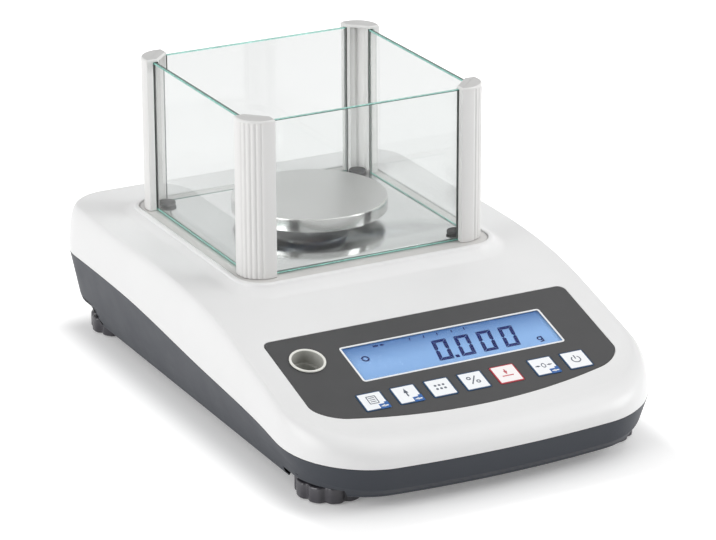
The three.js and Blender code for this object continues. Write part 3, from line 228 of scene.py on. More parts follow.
class BalancePanel(bpy.types.PropertyGroup):
    """Sizes of the keypad film, the display and the keys."""

    slope: angle("Slope", 16.4, "Tilt of the panel")
    film: length("Film thickness", 0.0008, "Thickness of the keypad film")
    length: length("Film length", 0.07474, "Length of the film along the slope")
    front_radius: length("Front corner", 0.015, "Front corner radius of the film")
    rear_radius: length("Rear corner", 0.004, "Rear corner radius of the film")
    bow: length("Front bow", 0.013, "How far the film's front edge bulges")
    gap: length("Edge gap", 0.0003, "Gap round the film, the window and the keys")
    window_width: length("Window width", 0.1125, "Width of the display window")
    window_depth: length("Window depth", 0.0279, "Depth of the display window")
    window_place: length("Window place", 0.0064, "Middle of the window off the centre line")
    window_margin: length("Window margin", 0.0144, "Film behind the window")
    window_radius: length("Window corner", 0.0015, "Corner radius of the window")
    window_frame: length("Window frame", 0.0008, "Width of the printed pale frame")
    glass_drop: length("Display depth", 0.0014, "Depth of the display's face")
    digit_height: length("Digit height", 0.0158, "Height of a digit")
    digit_width: length("Digit width", 0.0081, "Width of a digit")
    digit_pitch: length("Digit pitch", 0.0125, "From one digit to the next")
    digit_stroke: length("Digit stroke", 0.0021, "Thickness of a digit's bars")
    digit_lean: ratio("Digit lean", 0.185, "Sideways lean of the digits")
    digit_left: length("First digit", -0.0054, "Left foot of the first digit")
    digit_foot: length("Digit foot", -0.0375, "Where the digits stand")
    key_size: length("Key size", 0.0134, "Side of a key")
    key_radius: length("Key corner", 0.0009, "Corner radius of a key")
    key_proud: length("Key height", 0.0002, "How far a key stands over the film")
    key_border: length("Key border", 0.0007, "Width of the printed border")
    level_radius: length("Level radius", 0.0083, "Outer radius of the level's cup")
    level_flange: length("Level flange", 0.0091, "Radius of the level's flange")
    level_wall: length("Level wall", 0.0004, "Wall of the level's cup")
    level_depth: length("Level depth", 0.0066, "Depth of the level's well")


class BalanceColours(bpy.types.PropertyGroup):
    """Base colours of the finishes."""

    cover: colour("Cover", (0.80, 0.80, 0.80), "Moulded cover")
    tray: colour("Tray", (0.043, 0.048, 0.059), "Moulded tray")
    film: colour("Film", (0.062, 0.062, 0.064), "Keypad film")
    print_pale: colour("Pale print", (0.86, 0.87, 0.88), "Pale printed lines")
    key: colour("Key", (0.93, 0.95, 0.97), "Key face")
    key_tare: colour("Tare key", (0.95, 0.91, 0.905), "Face of the tare key")
    border_blue: colour("Blue border", (0.012, 0.060, 0.150), "Border of the keys")
    border_red: colour("Red border", (0.48, 0.035, 0.055), "Border of the tare key")
    tag: colour("Tag", (0.010, 0.105, 0.370), "Corner tags on keys")
    post: colour("Post", (0.755, 0.75, 0.74), "Draft shield posts")
    glass: colour("Glass", (0.92, 0.932, 0.928), "Draft shield glass")
    glass_edge: colour("Glass edge", (0.34, 0.74, 0.64), "Ground edges of the glass")
    # Painted shade: the dark line seen in the glass edges
    glass_shade: colour("Glass edge shade", (0.014, 0.085, 0.062), "Dark line in the glass edges")
    wheel: colour("Wheel", (0.060, 0.057, 0.067), "Foot wheels")
    rubber: colour("Rubber", (0.024, 0.025, 0.025), "Rubber studs and pads")
    display: colour("Display", (0.138, 0.236, 0.392), "Lit display")
    # Painted shade: the display darkens towards its rear edge, under the frame
    display_dark: colour("Display shade", (0.038, 0.088, 0.200), "Display under its rear edge")
    digits: colour("Digits", (0.008, 0.014, 0.085), "Digits and marks")
    level: colour("Level", (0.80, 0.80, 0.75), "Cup of the level")
    liquid: colour("Liquid", (0.075, 0.078, 0.062), "Liquid in the level")


class BalanceStage(bpy.types.PropertyGroup):
    """Camera and light."""

    azimuth: angle("Azimuth", -27.57, "Where the camera stands round the object")
    elevation: angle("Elevation", 20.63, "How far the camera looks down")
    roll: angle("Roll", -0.18, "Roll of the camera")
    distance: length("Distance", 1.80007, "From the camera to the aim")
    lens: ratio("Lens", 174.68, "Focal length in millimetres on a 36 mm sensor")
    aim_right: length("Aim right", 0.02489, "Shift of the camera to its right")
    aim_up: length("Aim up", -0.06431, "Shift of the camera upwards")
    aim_height: length("Aim height", 0.1132, "Height that the camera circles")
    floor: ratio("Floor", 0.90, "Paleness of the floor")
    sky: ratio("Sky", 0.62, "Strength of the even light")


def sizes(group):
    """The user's settings of that group."""
    return getattr(bpy.context.scene, "balance_" + group)


# Shapes as arrays of points


def middle_of(low, high):
    """Middle of a packed box, as x, y and z."""
    return [(a + b) / 2 for a, b in zip(low, high)]


def full_turn(steps):
    """Angles all the way round, the first not repeated at the end."""
    return np.linspace(0, 2 * math.pi, steps, endpoint=False)


# Half the width of a plan outline, its ends, its corner radii and how far its front bulges
Plan = namedtuple("Plan", "half front rear front_radius rear_radius bow")


def outline(half, front, rear, front_radius, rear_radius, bow):
    """Points round a plan outline, anticlockwise from its front right corner.

    Each corner is a quarter circle, corner centre plus radius times the cosine and sine of
    the angle, and straight sides join them. The front half is pushed back by bow times the
    square of x over half the width, which fades out towards the middle.
    """
    turn = np.linspace(0, QUARTER, CORNER_STEPS)
    corners = [
        (half - front_radius, front + front_radius, front_radius, -QUARTER),
        (half - rear_radius, rear - rear_radius, rear_radius, 0),
        (rear_radius - half, rear - rear_radius, rear_radius, QUARTER),
        (front_radius - half, front + front_radius, front_radius, QUARTER * 2),
    ]
    arcs = [
        np.column_stack([x + r * np.cos(a + turn), y + r * np.sin(a + turn)])
        for x, y, r, a in corners
    ]
    parts = []
    for i, arc in enumerate(arcs):
        count = ALONG_STEPS if i % 2 == 0 else CROSS_STEPS
        share = np.linspace(0, 1, count)[1:-1, None]
        parts += [arc, arc[-1] * (1 - share) + arcs[(i + 1) % 4][0] * share]
    points = np.concatenate(parts)
    middle = (front + rear) / 2
    share = np.maximum(0, (middle - points[:, 1]) / (middle - front))
    points[:, 1] += bow * (points[:, 0] / half) ** 2 * share
    return points


def drawn_in(plan, distance):
    """The same outline drawn in by a distance on every side, its corners with it."""
    half, front, rear, *radii, bow = plan
    radii = [max(radius - distance, SMALLEST_CORNER) for radius in radii]
    return Plan(half - distance, front + distance, rear - distance, *radii, bow)


def ring(plan, height):
    """One ring of a loft: an outline's points, each at the height given for its place."""
    flat = outline(*plan)
    z = height(flat[:, 1]) if callable(height) else np.full(len(flat), height)
    return np.column_stack([flat, z])


def mixed(a, b, out_share, up_share):
    """A ring between two rings: out_share of the way in plan and up_share in height."""
    share = np.array([out_share, out_share, up_share])
    return a + (b - a) * share


def curve_through(places, values, at):
    """Smooth curve through a table: on each step a cubic that leaves and arrives with the
    slopes taken from the neighbouring entries."""
    places, values = np.asarray(places), np.asarray(values)
    at = np.clip(at, places[0], places[-1])
    i = np.clip(np.searchsorted(places, at, side="left") - 1, 0, len(places) - 2)
    before = np.maximum(np.arange(len(places)) - 1, 0)
    after = np.minimum(np.arange(len(places)) + 1, len(places) - 1)
    grade = (values[after] - values[before]) / (places[after] - places[before])
    step = places[i + 1] - places[i]
    t = (at - places[i]) / step
    blend = t * t * (3 - 2 * t)
    leave = t * (1 - t) ** 2 * step * grade[i]
    arrive = t * t * (t - 1) * step * grade[i + 1]
    return values[i] + (values[i + 1] - values[i]) * blend + leave + arrive


def rounded_rectangle(width, depth, radius, x=0.0, y=0.0, steps=6):
    """Points round a rectangle whose corners are quarter circles of that radius."""
    turn = np.linspace(0, QUARTER, steps)
    reach = np.array([width / 2 - radius, depth / 2 - radius])
    signs = [(1, -1, -QUARTER), (1, 1, 0), (-1, 1, QUARTER), (-1, -1, QUARTER * 2)]
    arcs = [
        reach * [sx, sy] + radius * np.column_stack([np.cos(a + turn), np.sin(a + turn)])
        for sx, sy, a in signs
    ]
    return np.concatenate(arcs) + [x, y]


def circle(radius, x=0.0, y=0.0, steps=64):
    """Points round a circle: centre plus radius times the cosine and sine of the angle."""
    turn = full_turn(steps)
    return np.column_stack([x + radius * np.cos(turn), y + radius * np.sin(turn)])


def moved_in(points, distance):
    """A flat outline moved in by a distance: each point goes along the mitre of its two
    edges, which is the sum of their normals over one plus their dot product."""
    following = np.roll(points, -1, 0)
    ahead = following - points
    ahead /= np.linalg.norm(ahead, axis=1, keepdims=True) + 1e-12
    normal = np.column_stack([-ahead[:, 1], ahead[:, 0]])
    back = np.roll(normal, 1, 0)
    area = np.sum(points[:, 0] * following[:, 1] - points[:, 1] * following[:, 0])
    mitre = (normal + back) / np.maximum(1 + np.sum(normal * back, 1), 0.35)[:, None]
    return points + mitre * distance * np.sign(area)


def revolved(radius, z, turn, x=0.0, y=0.0):
    """Rings about an upright axis: each point lies at radius times the cosine and sine of
    its angle."""
    return np.stack([x + radius * np.cos(turn), y + radius * np.sin(turn), z + 0 * turn], -1)


def skin(rings, loop=False):
    """Points and faces of a closed skin over rings of equal counts, each closed round. A
    looped skin joins its last ring to its first, and otherwise one flat face closes each
    end."""
    rings = np.asarray(rings)
    rows, columns = rings.shape[:2]
    row = np.arange(rows if loop else rows - 1)[:, None] * columns
    column = np.arange(columns)[None, :]
    above, beside = (row + columns) % (rows * columns), (column + 1) % columns
    quads = np.stack([row + column, row + beside, above + beside, above + column], -1)
    faces = quads.reshape(-1, 4).tolist()
    if not loop:
        faces.append(list(range(columns))[::-1])
        faces.append(list(range((rows - 1) * columns, rows * columns)))
    return rings.reshape(-1, 3), faces


def joined(*shapes):
    """Several shapes as one, each with its points and faces."""
    points, faces, start = [], [], 0
    for p, f in shapes:
        points.append(p)
        faces += [[i + start for i in face] for face in f]
        start += len(p)
    return np.concatenate(points), faces


def prism(flat, rows):
    """A flat outline carried up through rows of inset and height, flat at both ends."""
    rings = [
        np.column_stack([moved_in(flat, inset) if inset else flat, np.full(len(flat), z)])
        for inset, z in rows
    ]
    return skin(rings)


def low_round(radius, z, steps):
    """Inset and height of points round a lower edge: radius times one less the sine and
    one less the cosine of the angle."""
    turn = np.linspace(0, QUARTER, steps)
    return [(radius * (1 - math.sin(a)), z + radius * (1 - math.cos(a))) for a in turn]


def high_round(radius, z, steps):
    """The same round along an upper edge, going up."""
    turn = np.linspace(0, QUARTER, steps)
    return [(radius * (1 - math.cos(a)), z - radius * (1 - math.sin(a))) for a in turn]


def slab(flat, bottom, top, edge=0.0):
    """A flat outline as a slab, with a small round of that radius along both edges."""
    if not edge:
        return prism(flat, [(0, bottom), (0, top)])
    return prism(flat, low_round(edge, bottom, 4) + high_round(edge, top, 4))


def block(low, high, arris):
    """A box whose edges carry a flat arris, from its lowest to its highest corner. Where
    the arris leaves a coordinate as it is, the ends draw it in by a hair, so that no face
    folds flat."""
    (x0, y0, z0), (x1, y1, z1) = low, high
    a = arris
    cut = [
        (x0 + a, y0), (x1 - a, y0), (x1, y0 + a), (x1, y1 - a),
        (x1 - a, y1), (x0 + a, y1), (x0, y1 - a), (x0, y0 + a),
    ]
    cut = np.array(cut)
    middle = np.array([(x0 + x1) / 2, (y0 + y1) / 2])
    small = np.clip(cut, [x0 + a, y0 + a], [x1 - a, y1 - a])
    small = small + (middle - small) * 1e-4 * (cut == small)
    rows = [(small, z0), (cut, z0 + a), (cut, z1 - a), (small, z1)]
    return skin([np.column_stack([p, np.full(8, z)]) for p, z in rows])


def turned(profile, steps=64, x=0.0, y=0.0, loop=False):
    """A profile of radius and height turned about an upright axis. A radius of zero at an
    end is left out, and a flat face closes it; a looped profile is a closed one."""
    kept = np.array([p for p in profile if p[0] > 1e-9])
    return skin(revolved(kept[:, :1], kept[:, 1:], full_turn(steps), x, y), loop)


def softened(profile, radius, steps=5):
    """A profile whose inner corners are rounded: each gives way to the curve (1-t)(1-t)a +
    2t(1-t)b + tt c between points a and c on its two edges."""
    profile = np.asarray(profile, float)
    result = [profile[0]]
    t = np.linspace(0, 1, steps)[:, None]
    for before, corner, after in zip(profile, profile[1:], profile[2:]):
        back, on = before - corner, after - corner
        reach = min(radius, np.linalg.norm(back) / 2, np.linalg.norm(on) / 2)
        a = corner + back / np.linalg.norm(back) * reach
        c = corner + on / np.linalg.norm(on) * reach
        result += list((1 - t) ** 2 * a + 2 * t * (1 - t) * corner + t**2 * c)
    return result + [profile[-1]]


def rounded(points, radius, steps=5):
    """A closed flat outline whose corners give way to quadratic curves of that reach."""
    loop = np.vstack([points[-1], points, points[0]])
    return np.array(softened(loop, radius, steps)[1:-1])


def placed(shape, matrix):
    """A shape moved by a matrix."""
    points, faces = shape
    m = np.array(matrix)
    return points @ m[:3, :3].T + m[:3, 3], faces


def mirrored(shape, across, along, x=0.0, y=0.0):
    """A shape mirrored across and along where the signs are negative, about x and y."""
    points, faces = shape
    return (points - [x, y, 0]) * [across, along, 1] + [x, y, 0], faces


# Pieces as Blender objects


def linked(name, data):
    """An object in the scene for a mesh, a lamp or a camera."""
    thing = bpy.data.objects.new(name, data)
    bpy.context.scene.collection.objects.link(thing)
    return thing


def enclosed(points, faces):
    """Volume inside a closed skin: a sixth of the sum, over fans of triangles, of each
    triangle's first corner dotted with the cross product of the other two."""
    total = 0.0
    for count in {len(f) for f in faces}:
        index = np.array([f for f in faces if len(f) == count])
        first = points[index[:, 0]]
        for k in range(1, count - 1):
            cross = np.cross(points[index[:, k]], points[index[:, k + 1]])
            total += np.sum(first * cross) / 6
    return total


def facing(shape):
    """A shape turned to face outward."""
    points, faces = shape
    return shape if enclosed(points, faces) >= 0 else (points, [f[::-1] for f in faces])


def made(name, shape, sharp=35):
    """A mesh object from a shape, turned to face outward, with smooth faces that break
    along edges sharper than the angle given."""
    points, faces = facing(shape)
    mesh = bpy.data.meshes.new(name)
    mesh.from_pydata(points.tolist(), [], faces)
    mesh.validate()
    mesh.shade_smooth()
    mesh.set_sharp_from_angle(angle=math.radians(sharp))
    return linked(name, mesh)


def combine(thing, tool, operation):
    """Changes an object by a boolean with another one, which is then removed. Doubles are
    merged after it, so that the next one starts from a sound skin."""
    step = thing.modifiers.new("combine", "BOOLEAN")
    step.operation = operation
    step.solver = "EXACT"
    step.object = tool
    bpy.context.view_layer.update()
    source = thing.evaluated_get(bpy.context.evaluated_depsgraph_get())
    mesh = bpy.data.meshes.new_from_object(source)
    thing.modifiers.clear()
    old, spare = thing.data, tool.data
    thing.data = mesh
    bpy.data.meshes.remove(old)
    bpy.data.objects.remove(tool)
    bpy.data.meshes.remove(spare)
    if len(mesh.polygons) == 0:
        raise RuntimeError(f"{thing.name} came out empty")
    tidy = bmesh.new()
    tidy.from_mesh(mesh)
    bmesh.ops.remove_doubles(tidy, verts=tidy.verts, dist=DOUBLES)
    tidy.to_mesh(mesh)
    tidy.free()
    mesh.name = thing.name
    return thing


def carve(thing, shapes, operation="DIFFERENCE", sharp=35):
    """Takes shapes away from an object, or joins them on, one after another."""
    for shape in shapes:
        combine(thing, made(thing.name + "_tool", shape), operation)
    thing.data.shade_smooth()
    thing.data.set_sharp_from_angle(angle=math.radians(sharp))
    return thing


def dress(thing, body, finishes, nodes=(), chosen=None):
    """Gives a piece its finishes, the body it rides on and the nodes it stands for. chosen
    gives each face's finish from the faces' middles and normals, as whole arrays."""
    mesh = thing.data
    mesh.materials.clear()
    for name in finishes:
        mesh.materials.append(finish(name))
    index = np.zeros(len(mesh.polygons), np.int32)
    if chosen is not None:
        middle = np.zeros(len(mesh.polygons) * 3, np.float32)
        normal = np.zeros(len(mesh.polygons) * 3, np.float32)
        mesh.polygons.foreach_get("center", middle)
        mesh.polygons.foreach_get("normal", normal)
        index = chosen(middle.reshape(-1, 3), normal.reshape(-1, 3)).astype(np.int32)
    mesh.polygons.foreach_set("material_index", index)
    mesh.update()
    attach(thing, body)
    if nodes:
        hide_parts(*nodes)
    return thing


# Finishes


def feed(tree, node, values):
    """Gives a node its inputs, by name or number: a socket is linked to the input, and
    anything else becomes its value."""
    for key, value in values.items():
        if isinstance(value, bpy.types.NodeSocket):
            tree.links.new(value, node.inputs[key])
        else:
            node.inputs[key].default_value = value
    return node


def add_node(tree, kind, values, operation=None):
    """A new node with its inputs, and its operation where it has one."""
    node = tree.nodes.new("ShaderNode" + kind)
    if operation:
        node.operation = operation
    return feed(tree, node, values)


def own_place(tree):
    """A point's place in the piece's own coordinates."""
    return tree.nodes.new("ShaderNodeTexCoord").outputs["Object"]


def ray(tree, kind):
    """1 for rays of that kind and 0 for the others."""
    return tree.nodes.new("ShaderNodeLightPath").outputs[kind]


def either(tree, value, first, second):
    """The first shader at 0 and the second at 1."""
    return add_node(tree, "MixShader", {0: value, 1: first, 2: second}).outputs[0]


def surface(tree, shader):
    """Makes a shader the material's surface."""
    output = next(n for n in tree.nodes if n.type == "OUTPUT_MATERIAL")
    tree.links.new(shader, output.inputs["Surface"])


def blank(name):
    """A new node material with one Principled shader, and its node tree."""
    material = bpy.data.materials.new(name)
    material.use_nodes = True
    tree = material.node_tree
    tree.nodes.clear()
    tree.nodes.new("ShaderNodeOutputMaterial")
    shader = tree.nodes.new("ShaderNodeBsdfPrincipled")
    surface(tree, shader.outputs["BSDF"])
    return material, tree, shader


def cloud(tree, scale, detail=3.0, stretch=(1, 1, 1)):
    """Noise over the piece's own coordinates, stretched along its axes."""
    place = add_node(tree, "Mapping", {"Vector": own_place(tree), "Scale": stretch})
    noise = {"Vector": place.outputs["Vector"], "Scale": scale, "Detail": detail}
    return add_node(tree, "TexNoise", noise).outputs["Fac"]


def spread(tree, value, low, high, start=0.3, end=0.7):
    """A value carried from the range start to end over to the range low to high."""
    ranges = {"From Min": start, "From Max": end, "To Min": low, "To Max": high}
    return add_node(tree, "MapRange", {"Value": value, **ranges}).outputs["Result"]


def blended(tree, value, first, second):
    """A colour between two, by a value."""
    node = tree.nodes.new("ShaderNodeMix")
    node.data_type = "RGBA"
    feed(tree, node, {"Factor": value, "A": (*first, 1), "B": (*second, 1)})
    return node.outputs["Result"]


def raised(tree, value, height):
    """Surface relief of that height from a value."""
    relief = {"Height": value, "Strength": 1.0, "Distance": height}
    return add_node(tree, "Bump", relief).outputs["Normal"]


def tinted(base, amount):
    """A colour made darker or lighter by a share."""
    return tuple(min(1.0, c * (1 + amount)) for c in base)


def mottled(tree, base, darker, lighter, scale, detail=4.0):
    """A colour that drifts in clouds from the base darkened to the base lightened."""
    drift = spread(tree, cloud(tree, scale, detail), 0, 1)
    return blended(tree, drift, tinted(base, -darker), tinted(base, lighter))


def moulded(name, base, roughness, grain=900.0, height=0.00003, vary=0.035, spec=0.5):
    """Moulded plastic: a fine even grain, with faint clouds in colour and gloss."""
    material, tree, shader = blank(name)
    looks = {
        "Base Color": mottled(tree, base, vary, vary, 24.0),
        "Roughness": spread(tree, cloud(tree, 70.0), roughness - 0.03, roughness + 0.03),
        "Specular IOR Level": spec,
        "Normal": raised(tree, cloud(tree, grain, 2.0), height),
    }
    feed(tree, shader, looks)
    return material


def metal(name, base, roughness, stretch=(1, 1, 1), scale=900.0, height=0.000004, swing=0.06):
    """Metal with a grain that the stretch draws out along one axis, and uneven gloss."""
    material, tree, shader = blank(name)
    lines = cloud(tree, scale, 2.0, stretch)
    looks = {
        "Metallic": 1.0,
        "Base Color": mottled(tree, base, 0.04, 0.03, 30.0),
        "Roughness": spread(tree, lines, max(0.02, roughness - swing), roughness + swing),
        "Normal": raised(tree, lines, height),
    }
    feed(tree, shader, looks)
    return material


def clear(name, base, roughness, ior=1.5):
    """Clear glass that lets lamps through, with faint wipe marks in its gloss."""
    material, tree, shader = blank(name)
    marks = cloud(tree, 9.0, 5.0, (1, 1, 2.5))
    looks = {
        "Base Color": (*base, 1),
        "Transmission Weight": 1.0,
        "IOR": ior,
        "Roughness": spread(tree, marks, 0.0, roughness, 0.45, 0.85),
    }
    feed(tree, shader, looks)
    through = add_node(tree, "BsdfTransparent", {"Color": (*base, 1)})
    shadow = ray(tree, "Is Shadow Ray")
    surface(tree, either(tree, shadow, shader.outputs["BSDF"], through.outputs["BSDF"]))
    return material


def printed(name, base, roughness=0.42, vary=0.05):
    """Screen-printed ink: an almost even coat with a slight tooth."""
    return moulded(name, base, roughness, 1800.0, 0.000006, vary)


def lit_face(name, base, shade, front, rear):
    """A lit display: its colour deepens towards the rear edge, painted shade from the frame over
    it, and faint clouds of the lamp's spread lie over it. Part of the light is the face's own."""
    material, tree, shader = blank(name)
    split = add_node(tree, "SeparateXYZ", {"Vector": own_place(tree)})
    # Painted shade: from partway back the colour deepens towards the rear edge
    place = spread(tree, split.outputs["Y"], 0, 1, front + (rear - front) * 0.38, rear)
    deep = add_node(tree, "Math", {0: place, 1: 1.5}, "POWER").outputs[0]
    clouds = {0: cloud(tree, 45.0, 2.0), 1: 0.03, 2: deep}
    hue = blended(tree, add_node(tree, "Math", clouds, "MULTIPLY_ADD").outputs[0], base, shade)
    looks = {
        "Base Color": hue,
        "Emission Color": hue,
        "Emission Strength": 0.45,
        "Specular IOR Level": 0.12,
        "Roughness": spread(tree, cloud(tree, 300.0), 0.3, 0.4),
    }
    feed(tree, shader, looks)
    return material


def satin_pan(name, base, x, y):
    """Satin steel: fine turning marks, a noise read by distance from the pan's middle."""
    material, tree, shader = blank(name)
    plan = {"Vector": own_place(tree), "Location": (-x, -y, 0), "Scale": (1, 1, 0)}
    centre = add_node(tree, "Mapping", plan).outputs["Vector"]
    reach = add_node(tree, "VectorMath", {0: centre}, "LENGTH").outputs["Value"]
    rings = tree.nodes.new("ShaderNodeTexNoise")
    rings.noise_dimensions = "1D"
    marks = feed(tree, rings, {"W": reach, "Scale": 2600.0, "Detail": 2.0}).outputs["Fac"]
    looks = {
        "Metallic": 1.0,
        "Base Color": mottled(tree, base, 0.05, 0.03, 26.0),
        "Roughness": spread(tree, marks, 0.30, 0.42),
        "Normal": raised(tree, marks, 0.0000015),
    }
    feed(tree, shader, looks)
    return material


_finishes = {}


def finish(name):
    """The finish of that name, made when it is first asked for: what it is made by, and
    the colour and values that this takes."""
    if name in _finishes:
        return _finishes[name]
    c = sizes("colours")
    display = (c.display, c.display_dark, *display_span())
    makers = {
        "white moulding": (moulded, c.cover, 0.36, 1100.0, 0.000022, 0.012),
        # Seat floor and groove: partly a grey frame, partly painted shade in the recess
        "seat grey": (moulded, (0.63, 0.62, 0.605), 0.4, 1100.0, 0.000022, 0.012),
        "grey moulding": (moulded, c.tray, 0.48, 1000.0, 0.00004, 0.02, 0.30),
        "wheel moulding": (moulded, c.wheel, 0.22, 900.0, 0.00002, 0.08, 0.55),
        "rubber": (moulded, c.rubber, 0.72, 1400.0, 0.00005, 0.10, 0.35),
        # Dark strips of painted shade where glass meets a post
        "gasket": (moulded, (0.12, 0.125, 0.12), 0.6),
        "keypad film": (moulded, c.film, 0.50, 2400.0, 0.000012, 0.035, 0.3),
        "pale print": (printed, c.print_pale),
        "dark print": (printed, (0.10, 0.12, 0.16)),
        "red print": (printed, (0.55, 0.10, 0.12)),
        "key face": (printed, c.key, 0.38, 0.015),
        "tare key face": (printed, c.key_tare, 0.38, 0.015),
        "blue border": (printed, c.border_blue),
        "red border": (printed, c.border_red),
        "blue tag": (printed, c.tag),
        "post enamel": (moulded, c.post, 0.34, 700.0, 0.00001, 0.02),
        "post cap": (moulded, tinted(c.post, -0.28), 0.42, 900.0, 0.00001, 0.02),
        "pane glass": (clear, c.glass, 0.03),
        "window glass": (clear, (0.97, 0.98, 1.0), 0.02, 1.1),
        "ground edge": (ground, c.glass_edge),
        # Painted shade in the glass edges
        "edge arris": (ground, c.glass_shade),
        "display": (lit_face, *display),
        "digit": (moulded, c.digits, 0.5, 1800.0, 0.000006, 0.03, 0.1),
        "satin steel": (satin_pan, (0.55, 0.552, 0.545), *pan_middle()),
        "polished steel": (metal, (0.56, 0.56, 0.55), 0.14, (1, 1, 14)),
        "mirror steel": (metal, (0.655, 0.665, 0.665), 0.17, (1, 10, 1), 700.0, 1e-6, 0.05),
        # Brighter than the pan's steel: painted light under the pan
        "pan underside": (metal, (0.82, 0.82, 0.81), 0.10, (14, 1, 1)),
        "bright steel": (metal, (0.62, 0.62, 0.61), 0.24),
        "brass": (metal, (0.60, 0.44, 0.17), 0.30),
        "gold plate": (metal, (0.75, 0.58, 0.22), 0.22),
        "cast aluminium": (metal, (0.68, 0.69, 0.70), 0.46, (1, 1, 1), 420.0, 2e-5, 0.1),
        "milled aluminium": (metal, (0.66, 0.67, 0.68), 0.34, (1, 14, 1)),
        "socket black": (moulded, (0.022, 0.022, 0.024), 0.42),
        # Painted shade inside the level's well
        "level shade": (moulded, tinted(c.level, -0.46), 0.4, 900.0, 0.00001, 0.06),
        "level cream": (moulded, c.level, 0.34, 900.0, 0.00001, 0.03),
        "level liquid": (moulded, c.liquid, 0.12, 500.0, 0.000004, 0.1, 0.6),
        "level bubble": (moulded, (0.30, 0.32, 0.24), 0.08, 500.0, 0.000002, 0.05, 0.7),
        "board green": (moulded, (0.030, 0.150, 0.060), 0.42, 260.0, 0.00004, 0.3),
        "cable grey": (moulded, (0.50, 0.51, 0.53), 0.5, 500.0, 0.00003, 0.05),
        "diffuser": (moulded, (0.80, 0.83, 0.90), 0.5, 600.0, 0.00002, 0.03),
        "front card": (moulded, (0.05, 0.05, 0.05), 0.9, 40.0),
    }
    if name not in makers:
        raise RuntimeError(f"there is no finish called {name}")
    maker, *values = makers[name]
    _finishes[name] = maker(name, *values)
    return _finishes[name]


def ground(name, base):
    """The ground edge of a pane: a tinted, half clear, frosted strip."""
    material, tree, shader = blank(name)
    looks = {
        "Base Color": mottled(tree, base, 0.18, 0.18, 160.0, 3.0),
        "Transmission Weight": 0.25,
        "IOR": 1.5,
        "Roughness": spread(tree, cloud(tree, 700.0), 0.18, 0.34),
        "Normal": raised(tree, cloud(tree, 1500.0, 2.0), 0.00001),
    }
    feed(tree, shader, looks)
    return material


def pan_middle():
    """Middle of the pan in plan."""
    return middle_of(PAN_LOW, PAN_HIGH)[:2]


# Places shared by several pieces


def seat_height():
    """Height of the pedestal's rim."""
    return COVER_HIGH.z


def housing_shape():
    """The housing's plan outline at the parting line."""
    h = sizes("housing")
    ends = COVER_LOW.y, COVER_HIGH.y
    return Plan(TRAY_HIGH.x, *ends, h.front_radius, h.rear_radius, h.bow)


def parting_height(y):
    """Height of the parting line: a smooth rise from the front end to the rear end."""
    shape = housing_shape()
    places = [0, 0.1, 0.22, 0.43, 0.66, 0.82, 1]
    rises = [0, 0.13, 0.4, 0.64, 0.93, 1, 1]
    share = (y - shape.front) / (shape.rear - shape.front)
    return COVER_LOW.z + sizes("housing").parting_rise * curve_through(places, rises, share)


def panel_place():
    """Where the film's rear edge lies: its y and its height."""
    p = sizes("panel")
    return OVERLAY_HIGH.y - p.film * math.sin(p.slope), OVERLAY_HIGH.z


def on_panel(shape):
    """A shape drawn on the panel, x across, y up the slope from the film's rear edge and z
    off its face, turned by the slope and moved into place."""
    y, z = panel_place()
    slope = sizes("panel").slope
    return placed(shape, Matrix.Translation((0, y, z)) @ Matrix.Rotation(slope, 4, "X"))


def deck_height(y):
    """Height of the deck: the panel's plane, then a cubic that eases it level."""
    h = sizes("housing")
    panel_y, panel_z = panel_place()
    grade = math.tan(sizes("panel").slope)
    start = panel_z + grade * h.ease_start
    t = np.clip((y - panel_y - h.ease_start) / h.ease_length, 0, 1)
    ease = start + (h.deck_height - start) * t * t * (3 - 2 * t)
    ease = ease + t * (1 - t) ** 2 * h.ease_length * grade
    return np.where(y <= panel_y + h.ease_start, panel_z + grade * (y - panel_y), ease)


def crease_shape():
    """The plan outline of the crease where the deck turns down."""
    h = sizes("housing")
    half, front, rear, *_ = housing_shape()
    ends = front + h.crease_front, rear - h.crease_rear
    radii = h.crease_front_radius, h.crease_rear_radius
    return Plan(half - h.crease_side, *ends, *radii, h.crease_bow)


def seat_shape():
    """The plan outline of the pedestal's rim."""
    h = sizes("housing")
    ends = END_LOW.y - h.front_margin, 2 * pan_middle()[1] - END_LOW.y + h.rear_margin
    return Plan(PANE_HIGH.x + h.side_margin, *ends, h.seat_radius, h.seat_radius, 0.0)


def film_shape():
    """The plan outline of the keypad film, in the panel's own plane."""
    p = sizes("panel")
    return Plan(OVERLAY_HIGH.x, -p.length, 0.0, p.front_radius, p.rear_radius, p.bow)


def window_flat(shrink=0.0):
    """Points round the display window, drawn in by a distance."""
    p = sizes("panel")
    middle = -(p.window_margin + p.window_depth / 2)
    width, depth = p.window_width - 2 * shrink, p.window_depth - 2 * shrink
    radius = max(p.window_radius - shrink, 0.0004)
    return rounded_rectangle(width, depth, radius, p.window_place, middle)


def display_span():
    """Where the display's front and rear edges lie in y."""
    p = sizes("panel")
    y, _ = panel_place()
    reach = p.window_margin + p.window_depth
    return y - reach * math.cos(p.slope), y - p.window_margin * math.cos(p.slope)


def key_place(number):
    """Middle of a key on the panel, from its packed box."""
    low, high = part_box(f"key_{number}")
    p = sizes("panel")
    top = high.y - (KEY_CAP - p.key_proud) * math.sin(p.slope)
    along = (top - panel_place()[0]) / math.cos(p.slope)
    return middle_of(low, high)[0], along - p.key_size / 2


FLANGE = 0.0007  # Thickness of the level's flange


def level_place():
    """Middle of the level on the panel, from the front rim of its packed cup."""
    low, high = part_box("level_cup")
    p = sizes("panel")
    rim = low.y + (p.gap + FLANGE) * math.sin(p.slope)
    along = (rim - panel_place()[0]) / math.cos(p.slope)
    return middle_of(low, high)[0], along + p.level_flange


